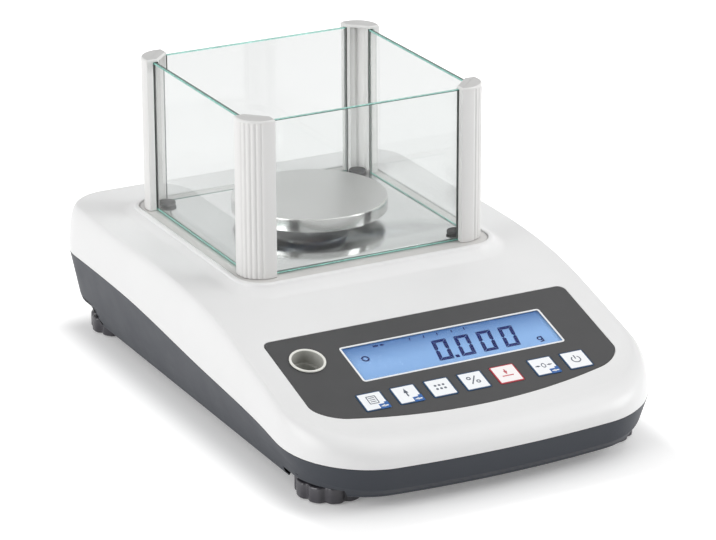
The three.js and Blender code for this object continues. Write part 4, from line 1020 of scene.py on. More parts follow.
def foot_middles():
    """Middle of each foot in plan, with the signs of its corner."""
    x, front, _ = middle_of(WHEEL_LOW, WHEEL_HIGH)
    rear = middle_of(*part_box("foot_wheel_rear_right"))[1]
    signs = ((-1, front, -1), (1, front, -1), (-1, rear, 1), (1, rear, 1))
    return {corner: (sx * x, y, sx, sy) for corner, (sx, y, sy) in zip(CORNERS, signs)}


def screw_middles():
    """Middle of each housing screw in plan."""
    return [middle_of(*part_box(f"housing_screw_{corner}"))[:2] for corner in CORNERS]


# Housing


def cover_rings(depth):
    """Rings of the cover's skin from the post hole out and down to the parting line. The
    shoulder follows (1 - cos a) and sin a raised to 2 over its power; the pedestal's flank
    falls as (1 - s) to the power 1.7 and spreads evenly."""
    h = sizes("housing")
    inner = depth > 0

    def deck(y):
        return deck_height(y) - depth

    shell = ring(drawn_in(housing_shape(), depth), parting_height)
    edge = ring(drawn_in(crease_shape(), depth), deck)
    rim = seat_shape()
    radius = h.seat_foot_radius
    spread_rim = drawn_in(rim, -h.seat_flare)._replace(front_radius=radius, rear_radius=radius)
    foot = ring(drawn_in(spread_rim, depth), deck)
    top = seat_height() - depth
    seat = top if inner else seat_height() - h.seat_depth
    x, y = pan_middle()
    toward = np.arctan2(foot[:, 1] - y, foot[:, 0] - x)
    rings = [revolved(h.post_hole, seat, toward, x, y)]
    if inner:
        rings.append(ring(drawn_in(rim, depth), top))
    else:
        lip = drawn_in(rim, h.seat_lip)
        groove = seat - h.seat_groove
        near = drawn_in(lip, h.seat_groove)
        rings += [ring(near, seat), ring(near, groove), ring(lip, groove)]
        rings += [ring(lip, top - LIP_BREAK), ring(drawn_in(lip, -LIP_BREAK), top)]
        for a in np.linspace(0, QUARTER, 5):
            out = h.seat_round * math.sin(a)
            rings.append(ring(drawn_in(rim, -out), top - h.seat_round * (1 - math.cos(a))))
    start = rings[-1]
    for s in np.linspace(0, 1, 9)[1:-1]:
        flank = start + (foot - start) * s
        flank[:, 2] = foot[:, 2] + (start[:, 2] - foot[:, 2]) * (1 - s) ** 1.7
        rings.append(flank)
    rings.append(foot)
    for s in np.linspace(0, 1, 14)[1:-1]:
        field = foot + (edge - foot) * s
        field[:, 2] = deck(field[:, 1])
        rings.append(field)
    power = 2 / h.shoulder
    for a in np.linspace(QUARTER, 0, 22):
        rings.append(mixed(shell, edge, 1 - math.cos(a) ** power, math.sin(a) ** power))
    return rings


LIP_BREAK = 0.0002  # Broken inner edge of the seat's lip
WINDOW_LEDGE = 0.002  # Ledge of the cover that the display window lies on
STEM = 0.0018  # Radius of a key's plunger


def make_cover():
    """The white cover with the film's recess and the openings under it, and a seat for the draft
    shield whose floor and groove are grey, partly as a grey frame and partly as painted shade."""
    p, h = sizes("panel"), sizes("housing")
    cover = made("cover", skin(cover_rings(0.0) + cover_rings(h.wall)[::-1], loop=True))
    above, below = 0.02, -0.006
    recess = slab(outline(*drawn_in(film_shape(), -p.gap)), -(p.film + p.gap), above)
    window = slab(window_flat(WINDOW_LEDGE), below, 0.0)
    well = slab(circle(p.level_radius + p.gap, *level_place(), 96), below, 0.0)
    holes = [
        slab(circle(STEM + 0.0003, *key_place(k + 1), 24), below, 0.0) for k in range(KEY_COUNT)
    ]
    carve(cover, [on_panel(recess), on_panel(joined(window, well, *holes))])
    seat = seat_height() - h.seat_depth

    # Faces of the seat's floor and groove: partly a grey frame, partly painted shade in the recess
    def in_seat(middle, normal):
        floor = np.abs(middle[:, 2] - seat) < SAME
        groove = np.abs(middle[:, 2] - (seat - h.seat_groove)) < SAME
        return (normal[:, 2] > UPWARD) & (floor | groove)

    finishes = ["white moulding", "seat grey"]
    dress(cover, "housing", finishes, ["top_cover"], in_seat)


def tray_crease_height(y):
    """Height of the crease round the tray: level, then easing down to the front end."""
    t = sizes("tray")
    share = np.clip((y - housing_shape().front) / t.crease_ease, 0, 1)
    blend = share * share * (3 - 2 * share)
    return t.crease_front_height + (t.crease_height - t.crease_front_height) * blend


def tray_wall_rings(depth):
    """Rings of the tray's wall from the bottom up, drawn in by a depth. A round joins the
    bottom to the lower band, and a tight curve (1-t)(1-t)a + 2t(1-t)b + tt c rounds the
    crease b between the bands."""
    t = sizes("tray")
    shape = housing_shape()
    foot_plan = drawn_in(shape, t.bottom_inset)._replace(front=shape.front + t.bottom_front)
    crease_plan = drawn_in(shape, t.crease_inset)._replace(front=shape.front + t.crease_front)
    rings = [
        ring(drawn_in(foot_plan, depth + inset), z)
        for inset, z in low_round(t.edge_round, TRAY_LOW.z + depth, 6)
    ]
    low = rings[-1]
    crease = ring(drawn_in(crease_plan, depth), tray_crease_height)
    high = ring(drawn_in(shape, depth), lambda y: parting_height(y) - t.gap)
    a = crease + (low - crease) * 0.08
    c = crease + (high - crease) * 0.05
    rings += [low + (a - low) * s for s in np.linspace(0, 1, 5)[1:-1]]
    for s in np.linspace(0, 1, 6):
        rings.append((1 - s) ** 2 * a + 2 * s * (1 - s) * crease + s**2 * c)
    return rings + [c + (high - c) * s for s in np.linspace(0, 1, 6)[1:]]


def foot_pocket(middle, wall, bottom, top):
    """Room over a foot: a round part about the wheel, and two straight sides that run on to
    a tip past the corner."""
    t = sizes("tray")
    x, y, across, along = middle
    radius = (WHEEL_HIGH.x - WHEEL_LOW.x) / 2 + t.pocket_margin + wall
    reach = t.pocket_reach + wall * 2
    open_angle = math.acos(radius / reach)
    turn = np.linspace(math.pi / 4 + open_angle, math.pi * 9 / 4 - open_angle, 48)
    tip = reach / math.sqrt(2)
    flat = np.vstack([np.column_stack([np.cos(turn), np.sin(turn)]) * radius, [[tip, tip]]])
    return slab(flat * [across, along] + [x, y], bottom, top)


LIP_OUTER, LIP_INNER, LIP_RISE = 0.0033, 0.0045, 0.0021
INSERT_BORE, INSERT_HEIGHT = 0.0062, 0.0137
SCREW_BORE = 0.0035
HOOK_RIM, HOOK_NECK = 0.010, 0.0076


def make_tray():
    """The dark tray: its walls, with a lip that reaches into the cover, the rooms for the
    feet and the sockets, and its bores."""
    t = sizes("tray")
    shape = housing_shape()
    rear, base = shape.rear, TRAY_LOW.z
    outer = tray_wall_rings(0.0)
    lip = [
        ring(drawn_in(shape, inset), lambda y, rise=rise: parting_height(y) + rise)
        for inset, rise in ((LIP_OUTER, -t.gap), (LIP_OUTER, LIP_RISE), (LIP_INNER, LIP_RISE))
    ]
    # The wall's last rings would stand in the lip, so the inside ends below them
    inside = tray_wall_rings(t.wall)[:-5][::-1]
    tray = made("tray", skin(outer + lip + inside))
    ceilings = {-1: t.pocket_front, 1: t.pocket_rear}
    feet = [(middle, ceilings[middle[3]]) for middle in foot_middles().values()]
    socket_z = base + t.socket_rise + t.socket_height / 2
    wall_y = rear - t.socket_depth
    rooms = [foot_pocket(m, t.wall, base + 0.001, ceiling + t.wall) for m, ceiling in feet]
    half, high = t.socket_width / 2 + t.wall, t.socket_height / 2 + t.wall
    corner = (-half, wall_y - t.wall, socket_z - high)
    rooms.append(block(corner, (half, rear + 0.01, socket_z + high), ARRIS))
    envelope = skin(outer)
    for room in rooms:
        filled = made("room", room)
        carve(filled, [envelope], "INTERSECT")
        combine(tray, filled, "UNION")
    bores = []
    for middle, ceiling in feet:
        bores.append(foot_pocket(middle, 0.0, -0.02, ceiling))
        insert = circle(INSERT_BORE, middle[0], middle[1], 48)
        bores.append(slab(insert, ceiling - 0.0003, ceiling + INSERT_HEIGHT))
    flat = rounded_rectangle(t.socket_width, t.socket_height, 0.0012)
    pocket = placed(slab(flat, -(rear + 0.03), -wall_y), Matrix.Rotation(QUARTER, 4, "X"))
    bores.append((pocket[0] + [0, 0, socket_z], pocket[1]))
    for x, y in screw_middles():
        bores.append(slab(circle(SCREW_BORE, x, y, 32), base - 0.01, base + 0.0039))
    x, y = pan_middle()
    bores.append(slab(circle(HOOK_RIM + 0.0003, x, y), base - 0.01, base + 0.0015))
    bores.append(slab(circle(HOOK_NECK + 0.0003, x, y), base - 0.005, base + 0.005))
    carve(tray, bores)
    tray.data.name = "tray"
    dress(tray, "housing", ["grey moulding"], ["base_tray"])


def make_bottom_fittings():
    """The cap of the opening for weighing below, with its coin slot and a fine ring, and the
    four cross-head housing screws."""
    x, y = pan_middle()
    low, high, neck = HOOK_LOW.z, HOOK_HIGH.z, HOOK_NECK
    rim = [(0.0, low), (HOOK_RIM, low), (HOOK_RIM, low + 0.0012), (neck, low + 0.0012)]
    rim += [(neck, high), (0.0, high)]
    plug = made("hook_cap", turned(softened(rim, 0.0004), 96, x, y))
    coin = (0.0062, 0.0009)
    slot = block(
        (x - coin[0], y - coin[1], low - 0.001), (x + coin[0], y + coin[1], low + 0.0008), ARRIS
    )
    wide, narrow, deep = 0.0082, 0.0077, low + 0.00025
    ring_cut = [(wide, low - 0.001), (wide, deep), (narrow, deep), (narrow, low - 0.001)]
    carve(plug, [slot, turned(ring_cut, 96, x, y, loop=True)])
    dress(plug, "housing", ["grey moulding"], ["hook_plug"])
    head, shank, arm, half_width = 0.0032, 0.0016, 0.0021, 0.00042
    for corner, (x, y) in zip(CORNERS, screw_middles()):
        low, high = (end.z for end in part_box(f"housing_screw_{corner}"))
        under = low + 0.0026
        profile = [(0.0, low), (head, low), (head, under), (shank, under)]
        profile += [(shank, high), (0.0, high)]
        screw = made(f"case_screw_{corner}", turned(softened(profile, 0.0005), 40, x, y))
        cross = [
            block((x - a, y - b, low - 0.001), (x + a, y + b, low + 0.0014), ARRIS)
            for a, b in ((arm, half_width), (half_width, arm))
        ]
        carve(screw, cross)
        finishes = ["bright steel"]
        dress(screw, "housing", finishes, [f"housing_screw_{corner}"])


# Feet


def wheel_skin():
    """A thumbwheel about the origin, over its angle and its section. The radius is the
    section's, less the scallop depth times ((1 - cos(lobes * angle)) / 2) cubed, and a
    share per row lets the scallops fade towards the middle."""
    f = sizes("feet")
    radius = (WHEEL_HIGH.x - WHEEL_LOW.x) / 2
    low, high = WHEEL_LOW.z, WHEEL_LOW.z + f.height
    gap = 0.0003
    well, roof = (PAD_HIGH.x - PAD_LOW.x) / 2 + gap, PAD_HIGH.z + gap
    rows = [(well, roof, 0.0), (well, low + gap, 0.0), (well + gap, low, 0.0)]
    edges = low_round(f.chamfer, low, 5) + high_round(f.chamfer, high, 5)
    rows += [(radius - inset, z, 1.0) for inset, z in edges]
    rows += [(radius * 0.80, high, 0.35), (radius * 0.74, high - 0.0005, 0.0)]
    rows += [(radius * 0.44, high - 0.0005, 0.0), (radius * 0.40, high, 0.0), (f.stud, high, 0.0)]
    turn = full_turn(240)
    scallop = f.scallop * ((1 - np.cos(turn * f.lobes)) / 2) ** 3
    reach, z, share = (np.array(column)[:, None] for column in zip(*rows))
    return skin(revolved(reach - scallop * share, z, turn))


def thread_skin(radius, low, high, pitch, depth=0.0005, steps=36):
    """A screw thread about the origin: the radius is the outer one less the thread's depth
    times a triangle wave of height over pitch less angle over a full turn."""
    turn = full_turn(steps)
    z = np.linspace(low, high, max(8, int((high - low) / pitch * 6)))[:, None]
    wave = np.abs(((z / pitch - turn / (2 * math.pi)) % 1.0) * 2 - 1)
    fade = np.clip(np.minimum(z - low, high - z) / (pitch * 0.6), 0, 1)
    return skin(revolved(radius - depth * (wave * fade + (1 - fade)), z, turn))


def make_feet():
    """Four thumbwheels with their screws, and the rubber pads under them."""
    f = sizes("feet")
    pad = (PAD_HIGH.x - PAD_LOW.x) / 2
    low, high = PAD_LOW.z, PAD_HIGH.z
    profile = [(0.0, low + 0.0004), (pad * 0.72, low + 0.0004), (pad * 0.75, low)]
    profile = softened(profile + [(pad, low), (pad, high), (0.0, high)], f.pad_round)
    top = WHEEL_LOW.z + f.height
    wheel = joined(wheel_skin(), thread_skin(f.stud, top - 0.001, WHEEL_HIGH.z, f.pitch))
    finishes = ["wheel moulding", "bright steel"]
    for corner, (x, y, _, _) in foot_middles().items():

        def screw(middle, normal):
            inside = np.hypot(middle[:, 0] - x, middle[:, 1] - y) < f.stud + 1e-5
            return inside & (middle[:, 2] > top)

        place = Matrix.Translation((x, y, 0))
        thing = made(f"thumbwheel_{corner}", placed(wheel, place), 40)
        body = f"foot_wheel_body_{corner}"
        dress(thing, body, finishes, [f"foot_wheel_{corner}"], screw)
        sole = made(f"foot_sole_{corner}", turned(profile, 96, x, y))
        body = f"foot_pad_body_{corner}"
        dress(sole, body, ["rubber"], [f"foot_pad_{corner}"])


# Sockets


def outward(shape, place):
    """A shape drawn as seen from the rear, x across, y up and z out, set on the wall."""
    x, y, z = place
    return placed(shape, Matrix(((1, 0, 0, x), (0, 0, 1, y), (0, 1, 0, z), (0, 0, 0, 1))))


def make_sockets():
    """The nine-pin socket with its shell, insert and hexagonal posts, and the power jack."""
    t = sizes("tray")
    wall_y = housing_shape().rear - t.socket_depth + t.gap
    low, high = SERIAL_LOW, SERIAL_HIGH
    x, _, z = middle_of(low, high)
    place = (x, wall_y, z)
    reach, beyond = high.y - wall_y, high.y - wall_y + 0.01

    def trapezium(half, rise, radius):
        """The socket's outline, its upper side wider than its lower one."""
        draft = 0.0014
        low_half = half - draft
        corners = [(-half, rise), (-low_half, -rise), (low_half, -rise), (half, rise)]
        return rounded(corners, radius)

    half, rise, rim = 0.0085, 0.0042, 0.0014
    shell_flat = trapezium(half, rise, 0.0016)
    flange = slab(rounded_rectangle(high.x - low.x, high.z - low.z, 0.0010), 0, 0.001, 0.0002)
    shell = slab(shell_flat, 0.0005, reach, 0.0003)
    back = slab(rounded_rectangle(0.019, 0.0098, 0.0005), low.y - wall_y, 0.0005)
    hollow = slab(moved_in(shell_flat, 0.0005), 0.0012, beyond)
    plate = made("port_shell", outward(flange, place))
    carve(plate, [outward(shell, place), outward(back, place)], "UNION")
    carve(plate, [outward(hollow, place)])
    dress(plate, "housing", ["bright steel"], ["serial_port"])
    insert_flat = trapezium(half - rim, rise - rim, 0.0007)
    insert = made("port_insert", outward(slab(insert_flat, 0.0012, reach - 0.0009, 0.0002), place))
    pitch, row = 0.00277, 0.00142
    pins = [((i - 2) * pitch, row) for i in range(5)]
    pins += [((i - 1.5) * pitch, -row) for i in range(4)]
    drills = [slab(circle(0.00055, a, b, 20), 0.0026, beyond) for a, b in pins]
    carve(insert, [outward(joined(*drills), place)])
    dress(insert, "housing", ["socket black"])
    sides = (-0.0125, 0.0125)
    posts = [slab(circle(0.0026, side, 0, 6), 0.001, 0.0058, 0.0003) for side in sides]
    bores = [slab(circle(0.0012, side, 0, 24), 0.003, 0.02) for side in sides]
    stand = made("port_posts", outward(joined(*posts), place))
    carve(stand, [outward(joined(*bores), place)])
    dress(stand, "housing", ["bright steel"])
    low, high = JACK_LOW, JACK_HIGH
    x, _, z = middle_of(low, high)
    place = (x, wall_y, z)
    face, back = high.y - wall_y, low.y - wall_y
    barrel, ring_out, bore, floor = 0.0042, 0.0056, 0.0030, face - 0.009
    profile = [(0.0, back), (barrel, back), (barrel, 0.0), (ring_out, 0.0), (ring_out, face)]
    profile += [(bore, face), (bore, floor), (0.0, floor)]
    jack = made("power_inlet", outward(turned(softened(profile, 0.0004), 72), place))
    dress(jack, "housing", ["socket black"], ["power_jack"])
    foot, tip = floor - 0.0001, face - 0.001
    profile = [(0.0, foot), (0.001, foot), (0.001, tip), (0.0, tip)]
    pin = made("power_pin", outward(turned(softened(profile, 0.0005), 24), place))
    dress(pin, "housing", ["gold plate"])


# Draft shield


def post_arc(steps):
    """The arc of a post's outer side through the chord's ends: its radius, and the angles
    along it from end to end."""
    s = sizes("shield")
    half = s.chord / 2
    radius = (half**2 + s.sagitta**2) / (s.sagitta * 2)
    opening = math.asin(half / radius)
    return radius, np.linspace(-opening, opening, steps)


def post_flat():
    """Points round a post's section, u along the chord and v outward.

    The outer side is an arc; over its middle share the radius drops by the flute depth
    times the square of (1 - cos) / 2 of the flutes' angle. The inner side has a hollow
    about the rubber stud, with a narrow channel in its bottom.
    """
    s = sizes("shield")
    radius, angle = post_arc(141)
    fluted = angle[-1] * s.flute_share
    turns = (angle / fluted + 1) / 2 * s.flutes
    wave = np.where(np.abs(angle) < fluted, (1 - np.cos(turns * 2 * math.pi)) / 2, 0) ** 2
    reach = radius - s.flute_depth * wave
    outer = np.column_stack([reach * np.sin(angle), s.sagitta - radius + reach * np.cos(angle)])
    stud = (STUD_HIGH.x - STUD_LOW.x) / 2 + s.stud_gap
    setback = stud_setback()
    wide = math.acos((setback - s.inner_depth) / stud)
    narrow = math.asin(s.channel_radius / stud)
    side = np.linspace(wide, narrow, 8)
    right = np.column_stack([stud * np.sin(side), stud * np.cos(side) - setback])
    mouth, bottom = right[-1, 1], stud * math.cos(narrow) - setback + s.channel_depth
    half = s.channel_radius
    corners = [(half, mouth), (half, bottom), (-half, bottom), (-half, mouth)]
    channel = rounded(corners, 0.0006, 4)[4:12]
    right_end, left_end = (np.array([[u, -s.inner_depth]]) for u in inner_corners())
    left = right[::-1][1:] * [-1, 1]
    return np.vstack([outer, right_end, right[:-1], channel, left, left_end])


def inner_corners():
    """Where a post's inner side ends along the chord, right and left."""
    width = sizes("shield").inner_width / 2
    return width, -width


def cap_flat():
    """Points round a post's cap: the outer arc without its flutes, and a straight inner
    side that closes the hollow."""
    s = sizes("shield")
    radius, angle = post_arc(41)
    outer = np.column_stack([radius * np.sin(angle), s.sagitta - radius + radius * np.cos(angle)])
    return np.vstack([outer, [(u, -s.inner_depth) for u in inner_corners()]])


def post_middle():
    """Where the chord's middle lies, from the pan's middle."""
    s = sizes("shield")
    return PANE_HIGH.x - s.corner_cut, pan_middle()[1] - END_LOW.y - s.corner_cut


def stud_setback():
    """From a post's chord to the middle of its rubber stud, along the diagonal."""
    return (post_middle()[0] - middle_of(STUD_LOW, STUD_HIGH)[0]) * math.sqrt(2)


PANE_STOP = 0.0046  # From a post's middle to the end of a pane
# Dark strips of painted shade where glass meets a post: their thickness and how far they run
SHADE_STRIP, SHADE_STRIP_RUN = 0.00026, 0.0074  # Thickness of the seals, and how far they run


def make_posts():
    """Four fluted posts with slots for the panes and caps on top, and dark strips of painted shade
    where glass meets metal."""
    s = sizes("shield")
    x, y = pan_middle()
    across, along = post_middle()
    low, high = POST_LOW.z, POST_HIGH.z
    place = Matrix.Translation((x + across, y + along, 0)) @ Matrix.Rotation(-QUARTER / 2, 4, "Z")
    column = placed(slab(post_flat(), low, high - s.cap), place)
    rows = [(0, high - s.cap)] + high_round(s.cap_edge, high, 5)
    lid = placed(prism(cap_flat(), rows), place)
    # The rear right corner: where the panes' middles lie, and where they end in the post
    pane_x, pane_y = PANE_HIGH.x - s.pane / 2, y - END_LOW.y - s.pane / 2
    end_x, end_y = x + across - PANE_STOP, y + along - PANE_STOP
    room, roof, run = s.pane / 2 + 0.0003, PANE_HIGH.z + 0.0003, s.chord
    slots = [
        block((x + pane_x - room, end_y - run, low - 0.01), (x + pane_x + room, end_y, roof), 1e-5),
        block((end_x - run, y + pane_y - room, low - 0.01), (end_x, y + pane_y + room, roof), 1e-5),
    ]
    face_x, face_y = x + pane_x - s.pane / 2, y + pane_y - s.pane / 2
    mouth_x, mouth_y = (end - SHADE_STRIP_RUN - s.gasket for end in (x + across, y + along))
    top = PANE_HIGH.z
    # Dark strips on the inner face of the glass, painted shade where it enters a post
    dark_shade_strips = [
        block((face_x - SHADE_STRIP, mouth_y, low), (face_x, end_y, top), 2e-5),
        block((mouth_x, face_y - SHADE_STRIP, low), (end_x, face_y, top), 2e-5),
    ]

    def round_over(middle, normal):
        return normal[:, 2] < UPWARD

    strips = []
    for corner, (_, _, sx, sy) in foot_middles().items():
        post = made(f"post_{corner}", mirrored(column, sx, sy, x, y), 30)
        carve(post, [mirrored(slot, sx, sy, x, y) for slot in slots], sharp=30)
        dress(post, "draft_shield", ["post enamel"], [f"shield_post_{corner}"])
        cap = made(f"post_cap_{corner}", mirrored(lid, sx, sy, x, y), 30)
        dress(cap, "draft_shield", ["post cap", "post enamel"], (), round_over)
        strips += [facing(mirrored(dark_shade_strip, sx, sy, x, y)) for dark_shade_strip in dark_shade_strips]
    dark_shade_strip = made("pane_seals", joined(*strips))
    dress(dark_shade_strip, "draft_shield", ["gasket"])


def make_panes():
    """Four panes of float glass with ground, tinted edges. The side panes carry painted shade, a
    darker line down their arrises, and the other two carry it on their outer side."""
    s = sizes("shield")
    finishes = ["pane glass", "ground edge", "edge arris"]
    for name in FACES:
        side = name in ("left", "right")
        axis, outer = 0 if side else 1, 1 if name == "rear" else -1

        def edge(middle, normal):
            facing_out = normal[:, axis]
            # Painted shade: a darker strip on the side panes' arrises and on the outer side of the
            # front and rear panes
            dark = np.abs(facing_out) < 0.3 if side else facing_out * outer > 0.3
            return np.where(np.abs(facing_out) > 0.9, 0, np.where(dark, 2, 1))

        arris = s.pane_arris * (2 if side else 1)
        pane = made(f"pane_{name}", block(*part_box(f"shield_pane_{name}"), arris), 20)
        dress(pane, "draft_shield", finishes, [f"shield_pane_{name}"], edge)


def make_chamber_floor():
    """The polished floor plate with its cut corners, and the four rubber studs."""
    s = sizes("shield")
    x, y = pan_middle()
    across, along = post_middle()
    w, d = PLATE_HIGH.x - x, PLATE_HIGH.y - y
    reach = across + along - (s.inner_depth + s.stud_gap) * math.sqrt(2)
    cx, cy = reach - d, reach - w
    right = [(cx, -d), (w, -cy), (w, cy), (cx, d)]
    flat = np.array(right + [(-u, -v) for u, v in right])
    low, high = PLATE_LOW.z, PLATE_HIGH.z
    plate = made("floor_mirror", slab(flat + [x, y], low, high, 0.0002))
    carve(plate, [slab(circle(0.012, x, y, 96), low - 0.01, high + 0.01)])
    dress(plate, "housing", ["mirror steel"], ["shield_floor_plate"])
    for corner in CORNERS:
        low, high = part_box(f"corner_stud_{corner}")
        r = (high.x - low.x) / 2
        profile = softened([(0.0, low.z), (r, low.z), (r, high.z), (0.0, high.z)], 0.0006)
        place = middle_of(low, high)[:2]
        stud = made(f"locating_stud_{corner}", turned(profile, 48, *place))
        dress(stud, "housing", ["rubber"], [f"corner_stud_{corner}"])


def make_pan():
    """The round pan: a satin top, a polished rim, and the hub underneath, whose underside is a
    brighter steel as painted light.
    """
    p = sizes("pan")
    x, y = pan_middle()
    r, top, low = (PAN_HIGH.x - PAN_LOW.x) / 2, PAN_HIGH.z, PAN_LOW.z
    under = top - p.wall
    profile = [(0.0, top), (r, top), (r, low), (r - p.wall, low), (r - p.wall, under)]
    profile += [(p.hub, under), (p.hub, under - p.hub_height), (p.hub_bore, under - p.hub_height)]
    profile += [(p.hub_bore, under), (0.0, under)]
    edge, rest = softened(profile[:3], p.edge, 7), softened(profile[2:], 0.00035, 4)
    pan = made("pan_dish", turned(list(edge) + list(rest)[1:], 160, x, y), 40)

    # Underside faces take the brighter steel: painted light in the gap under the pan
    def rim(middle, normal):
        return np.where(normal[:, 2] > UPWARD, 0, np.where(normal[:, 2] > -0.5, 1, 2))

    finishes = ["satin steel", "polished steel", "pan underside"]
    dress(pan, "pan", finishes, ["weighing_pan"], rim)


# Panel


def make_film():
    """The keypad film with its openings, and a printed pale frame round the window."""
    p = sizes("panel")
    film = made("keypad_film", on_panel(slab(outline(*film_shape()), -p.film, 0.0)))
    size = p.key_size + 2 * p.gap
    openings = [
        rounded_rectangle(size, size, p.key_radius + p.gap, *key_place(k + 1))
        for k in range(KEY_COUNT)
    ]
    openings += [window_flat(), circle(p.level_radius + p.gap, *level_place(), 96)]
    carve(film, [on_panel(joined(*[slab(flat, -0.01, 0.01) for flat in openings]))])
    dress(film, "housing", ["keypad film"], ["panel_overlay"])
    window = made("display_glass", on_panel(slab(window_flat(p.gap), -p.film, 0.0, 0.0001)))
    dress(window, "housing", ["window glass"], ["display_window"])
    frame_outer, frame_inner = window_flat(-0.0002), window_flat(p.window_frame)
    border = made("display_border", on_panel(band(frame_outer, frame_inner, 0.00001, 0.00007)))
    dress(border, "housing", ["pale print"])


def band(outer, inner, low, high):
    """A flat closed band between two outlines of equal counts, with its thickness."""
    rows = [(outer, low), (outer, high), (inner, high), (inner, low)]
    return skin([np.column_stack([p, np.full(len(p), z)]) for p, z in rows], loop=True)


def bar(x0, y0, x1, y1, width):
    """A straight bar between two points: the four corners lie half its width aside."""
    a, b = np.array([x0, y0]), np.array([x1, y1])
    on = (b - a) / np.linalg.norm(b - a)
    side = np.array([-on[1], on[0]]) * width / 2
    return np.array([a - side, b - side, b + side, a + side])


def arc_band(x, y, radius, width, start=0, end=360, squeeze=1.0):
    """A band along an arc: its sides lie half its width from the radius. All the way round
    it has two outlines, the outer and the inner one."""
    turn = np.linspace(math.radians(start), math.radians(end), 40)
    outer, inner = (
        np.column_stack([x + r * squeeze * np.cos(turn), y + r * np.sin(turn)])
        for r in (radius + width / 2, radius - width / 2)
    )
    return (outer[:-1], inner[:-1]) if end - start >= 360 else np.vstack([outer, inner[::-1]])


def triangle(x, y, size, degrees):
    """A triangle about a point, its tip turned to the angle given."""
    turn = np.radians(np.array([0, 140, 220]) + degrees)
    return np.column_stack([x + size * np.cos(turn), y + size * np.sin(turn)])


def marked(marks, low, high, scale, x, y):
    """Flat marks as one thin relief: scaled, moved, given their thickness and turned
    outward. A mark is an outline, or the two outlines of a band."""
    shapes = []
    for mark in marks:
        rims = [rim * scale + [x, y] for rim in (mark if isinstance(mark, tuple) else (mark,))]
        build = band if len(rims) == 2 else slab
        shapes.append(facing(build(*rims, low, high)))
    return joined(*shapes)


def digit_bars(left):
    """The six lit bars of a nought: a level and an upright bar with slanted ends, each
    mirrored about the digit's middle, and all leant to the right."""
    p = sizes("panel")
    w, t = p.digit_width, p.digit_stroke
    middle = np.array([w, p.digit_height]) / 2
    mid, cut, half = middle[1], t * 0.5, t * 0.06
    level = [(half, 0), (w - half, 0), (w - t - half, t), (t + half, t)]
    upright = [(0, half), (0, mid - cut * 0.4), (cut, mid), (t, mid - cut), (t, t + half)]
    bars = []
    for points, signs in ((level, (1,)), (upright, (1, -1))):
        for sx in signs:
            for sy in (1, -1):
                flat = middle + (np.array(points) - middle) * [sx, sy]
                flat[:, 0] += flat[:, 1] * p.digit_lean + left
                bars.append(flat)
    return bars


def make_display():
    """The lit display: its glass, the face seen through the window, and on it the digits
    with their point, a unit, a ring and ticks."""
    p = sizes("panel")
    face = -p.glass_drop
    glass = slab(window_flat(0.0023), face - 0.0022, face, 0.0001)
    body = made("display_body", on_panel(glass))
    dress(body, "housing", ["display"], ["lcd_glass"])
    face = -p.film - 0.00008
    shown = made("display_face", on_panel(slab(window_flat(p.gap), face - 0.00012, face)))
    dress(shown, "housing", ["display"])
    marks = [flat for i in range(4) for flat in digit_bars(p.digit_pitch * i)]
    t = p.digit_stroke
    marks.append(rounded_rectangle(t, t, t * 0.2, p.digit_pitch - 0.0021, t * 0.5))
    x, y, stroke = 0.0573, 0.0018, 0.0008
    marks.append(arc_band(x, y, 0.0012, stroke))
    marks.append(bar(x + 0.0012, y + 0.0016, x + 0.0012, y - 0.0020, stroke))
    marks.append(bar(x + 0.0014, y - 0.0022, x - 0.0009, y - 0.0026, stroke))
    marks.append(arc_band(-0.0350, 0.0124, 0.0017, 0.0009))
    y = 0.0202
    for x, wide in ((-0.0270, 0.0030), (-0.0230, 0.0020)):
        marks.append(bar(x, y, x + wide, y, 0.0012))
    for x in (-0.0065, 0.0013, 0.0088, 0.0169, 0.0240):
        marks.append(bar(x - 0.0002, y - 0.0010, x + 0.0002, y + 0.0010, 0.0006))
    relief = marked(marks, face + 0.00001, face + 0.00005, 1.0, p.digit_left, p.digit_foot)
    digits = made("display_digits", on_panel(relief), 80)
    dress(digits, "housing", ["digit"])


def key_sign(number):
    """A plain sign for a key, in millimetres about its middle: bars on a page, an arrow,
    dots, a stroke with two rings, a line under an arrow, arrows about a ring, or a ring
    with a stroke."""
    w = 0.62
    both = (-1, 1)
    if number == 1:
        page = rounded_rectangle(5.2, 6.0, 0.5, 0, 0.5)
        lines = [bar(-1.5, v, 1.5, v, w * 0.8) for v in (2, 0.6, -0.8)]
        return [(page, moved_in(page, w * 0.8))] + lines
    if number == 2:
        return [bar(0, -2.2, 0, 1.6, w * 1.3), triangle(0, 2.0, 1.9, 90)]
    if number == 3:
        return [circle(0.72, a * 2.2, b * 1.32, 20) for a in (-1, 0, 1) for b in both]
    if number == 4:
        rings = [arc_band(s * 2.0, s * -1.6, 0.9, w) for s in both]
        return rings + [bar(-1.9, -2.9, 1.9, 2.9, w)]
    if number == 5:
        strokes = [bar(-3.1, -1.9, 3.1, -1.9, w * 1.2), bar(0, 3.0, 0, 1.0, w * 1.2)]
        return strokes + [triangle(0, 0.5, 1.6, -90)]
    if number == 6:
        shafts = [bar(s * 4.6, 0, s * 3.0, 0, w) for s in both]
        tips = [triangle(s * 2.7, 0, 1.1, 90 + s * 90) for s in both]
        return shafts + tips + [arc_band(0, 0, 1.5, w, squeeze=0.66)]
    return [arc_band(0, -0.2, 2.3, w, 125, 415), bar(0, 0.1, 0, 2.9, w)]


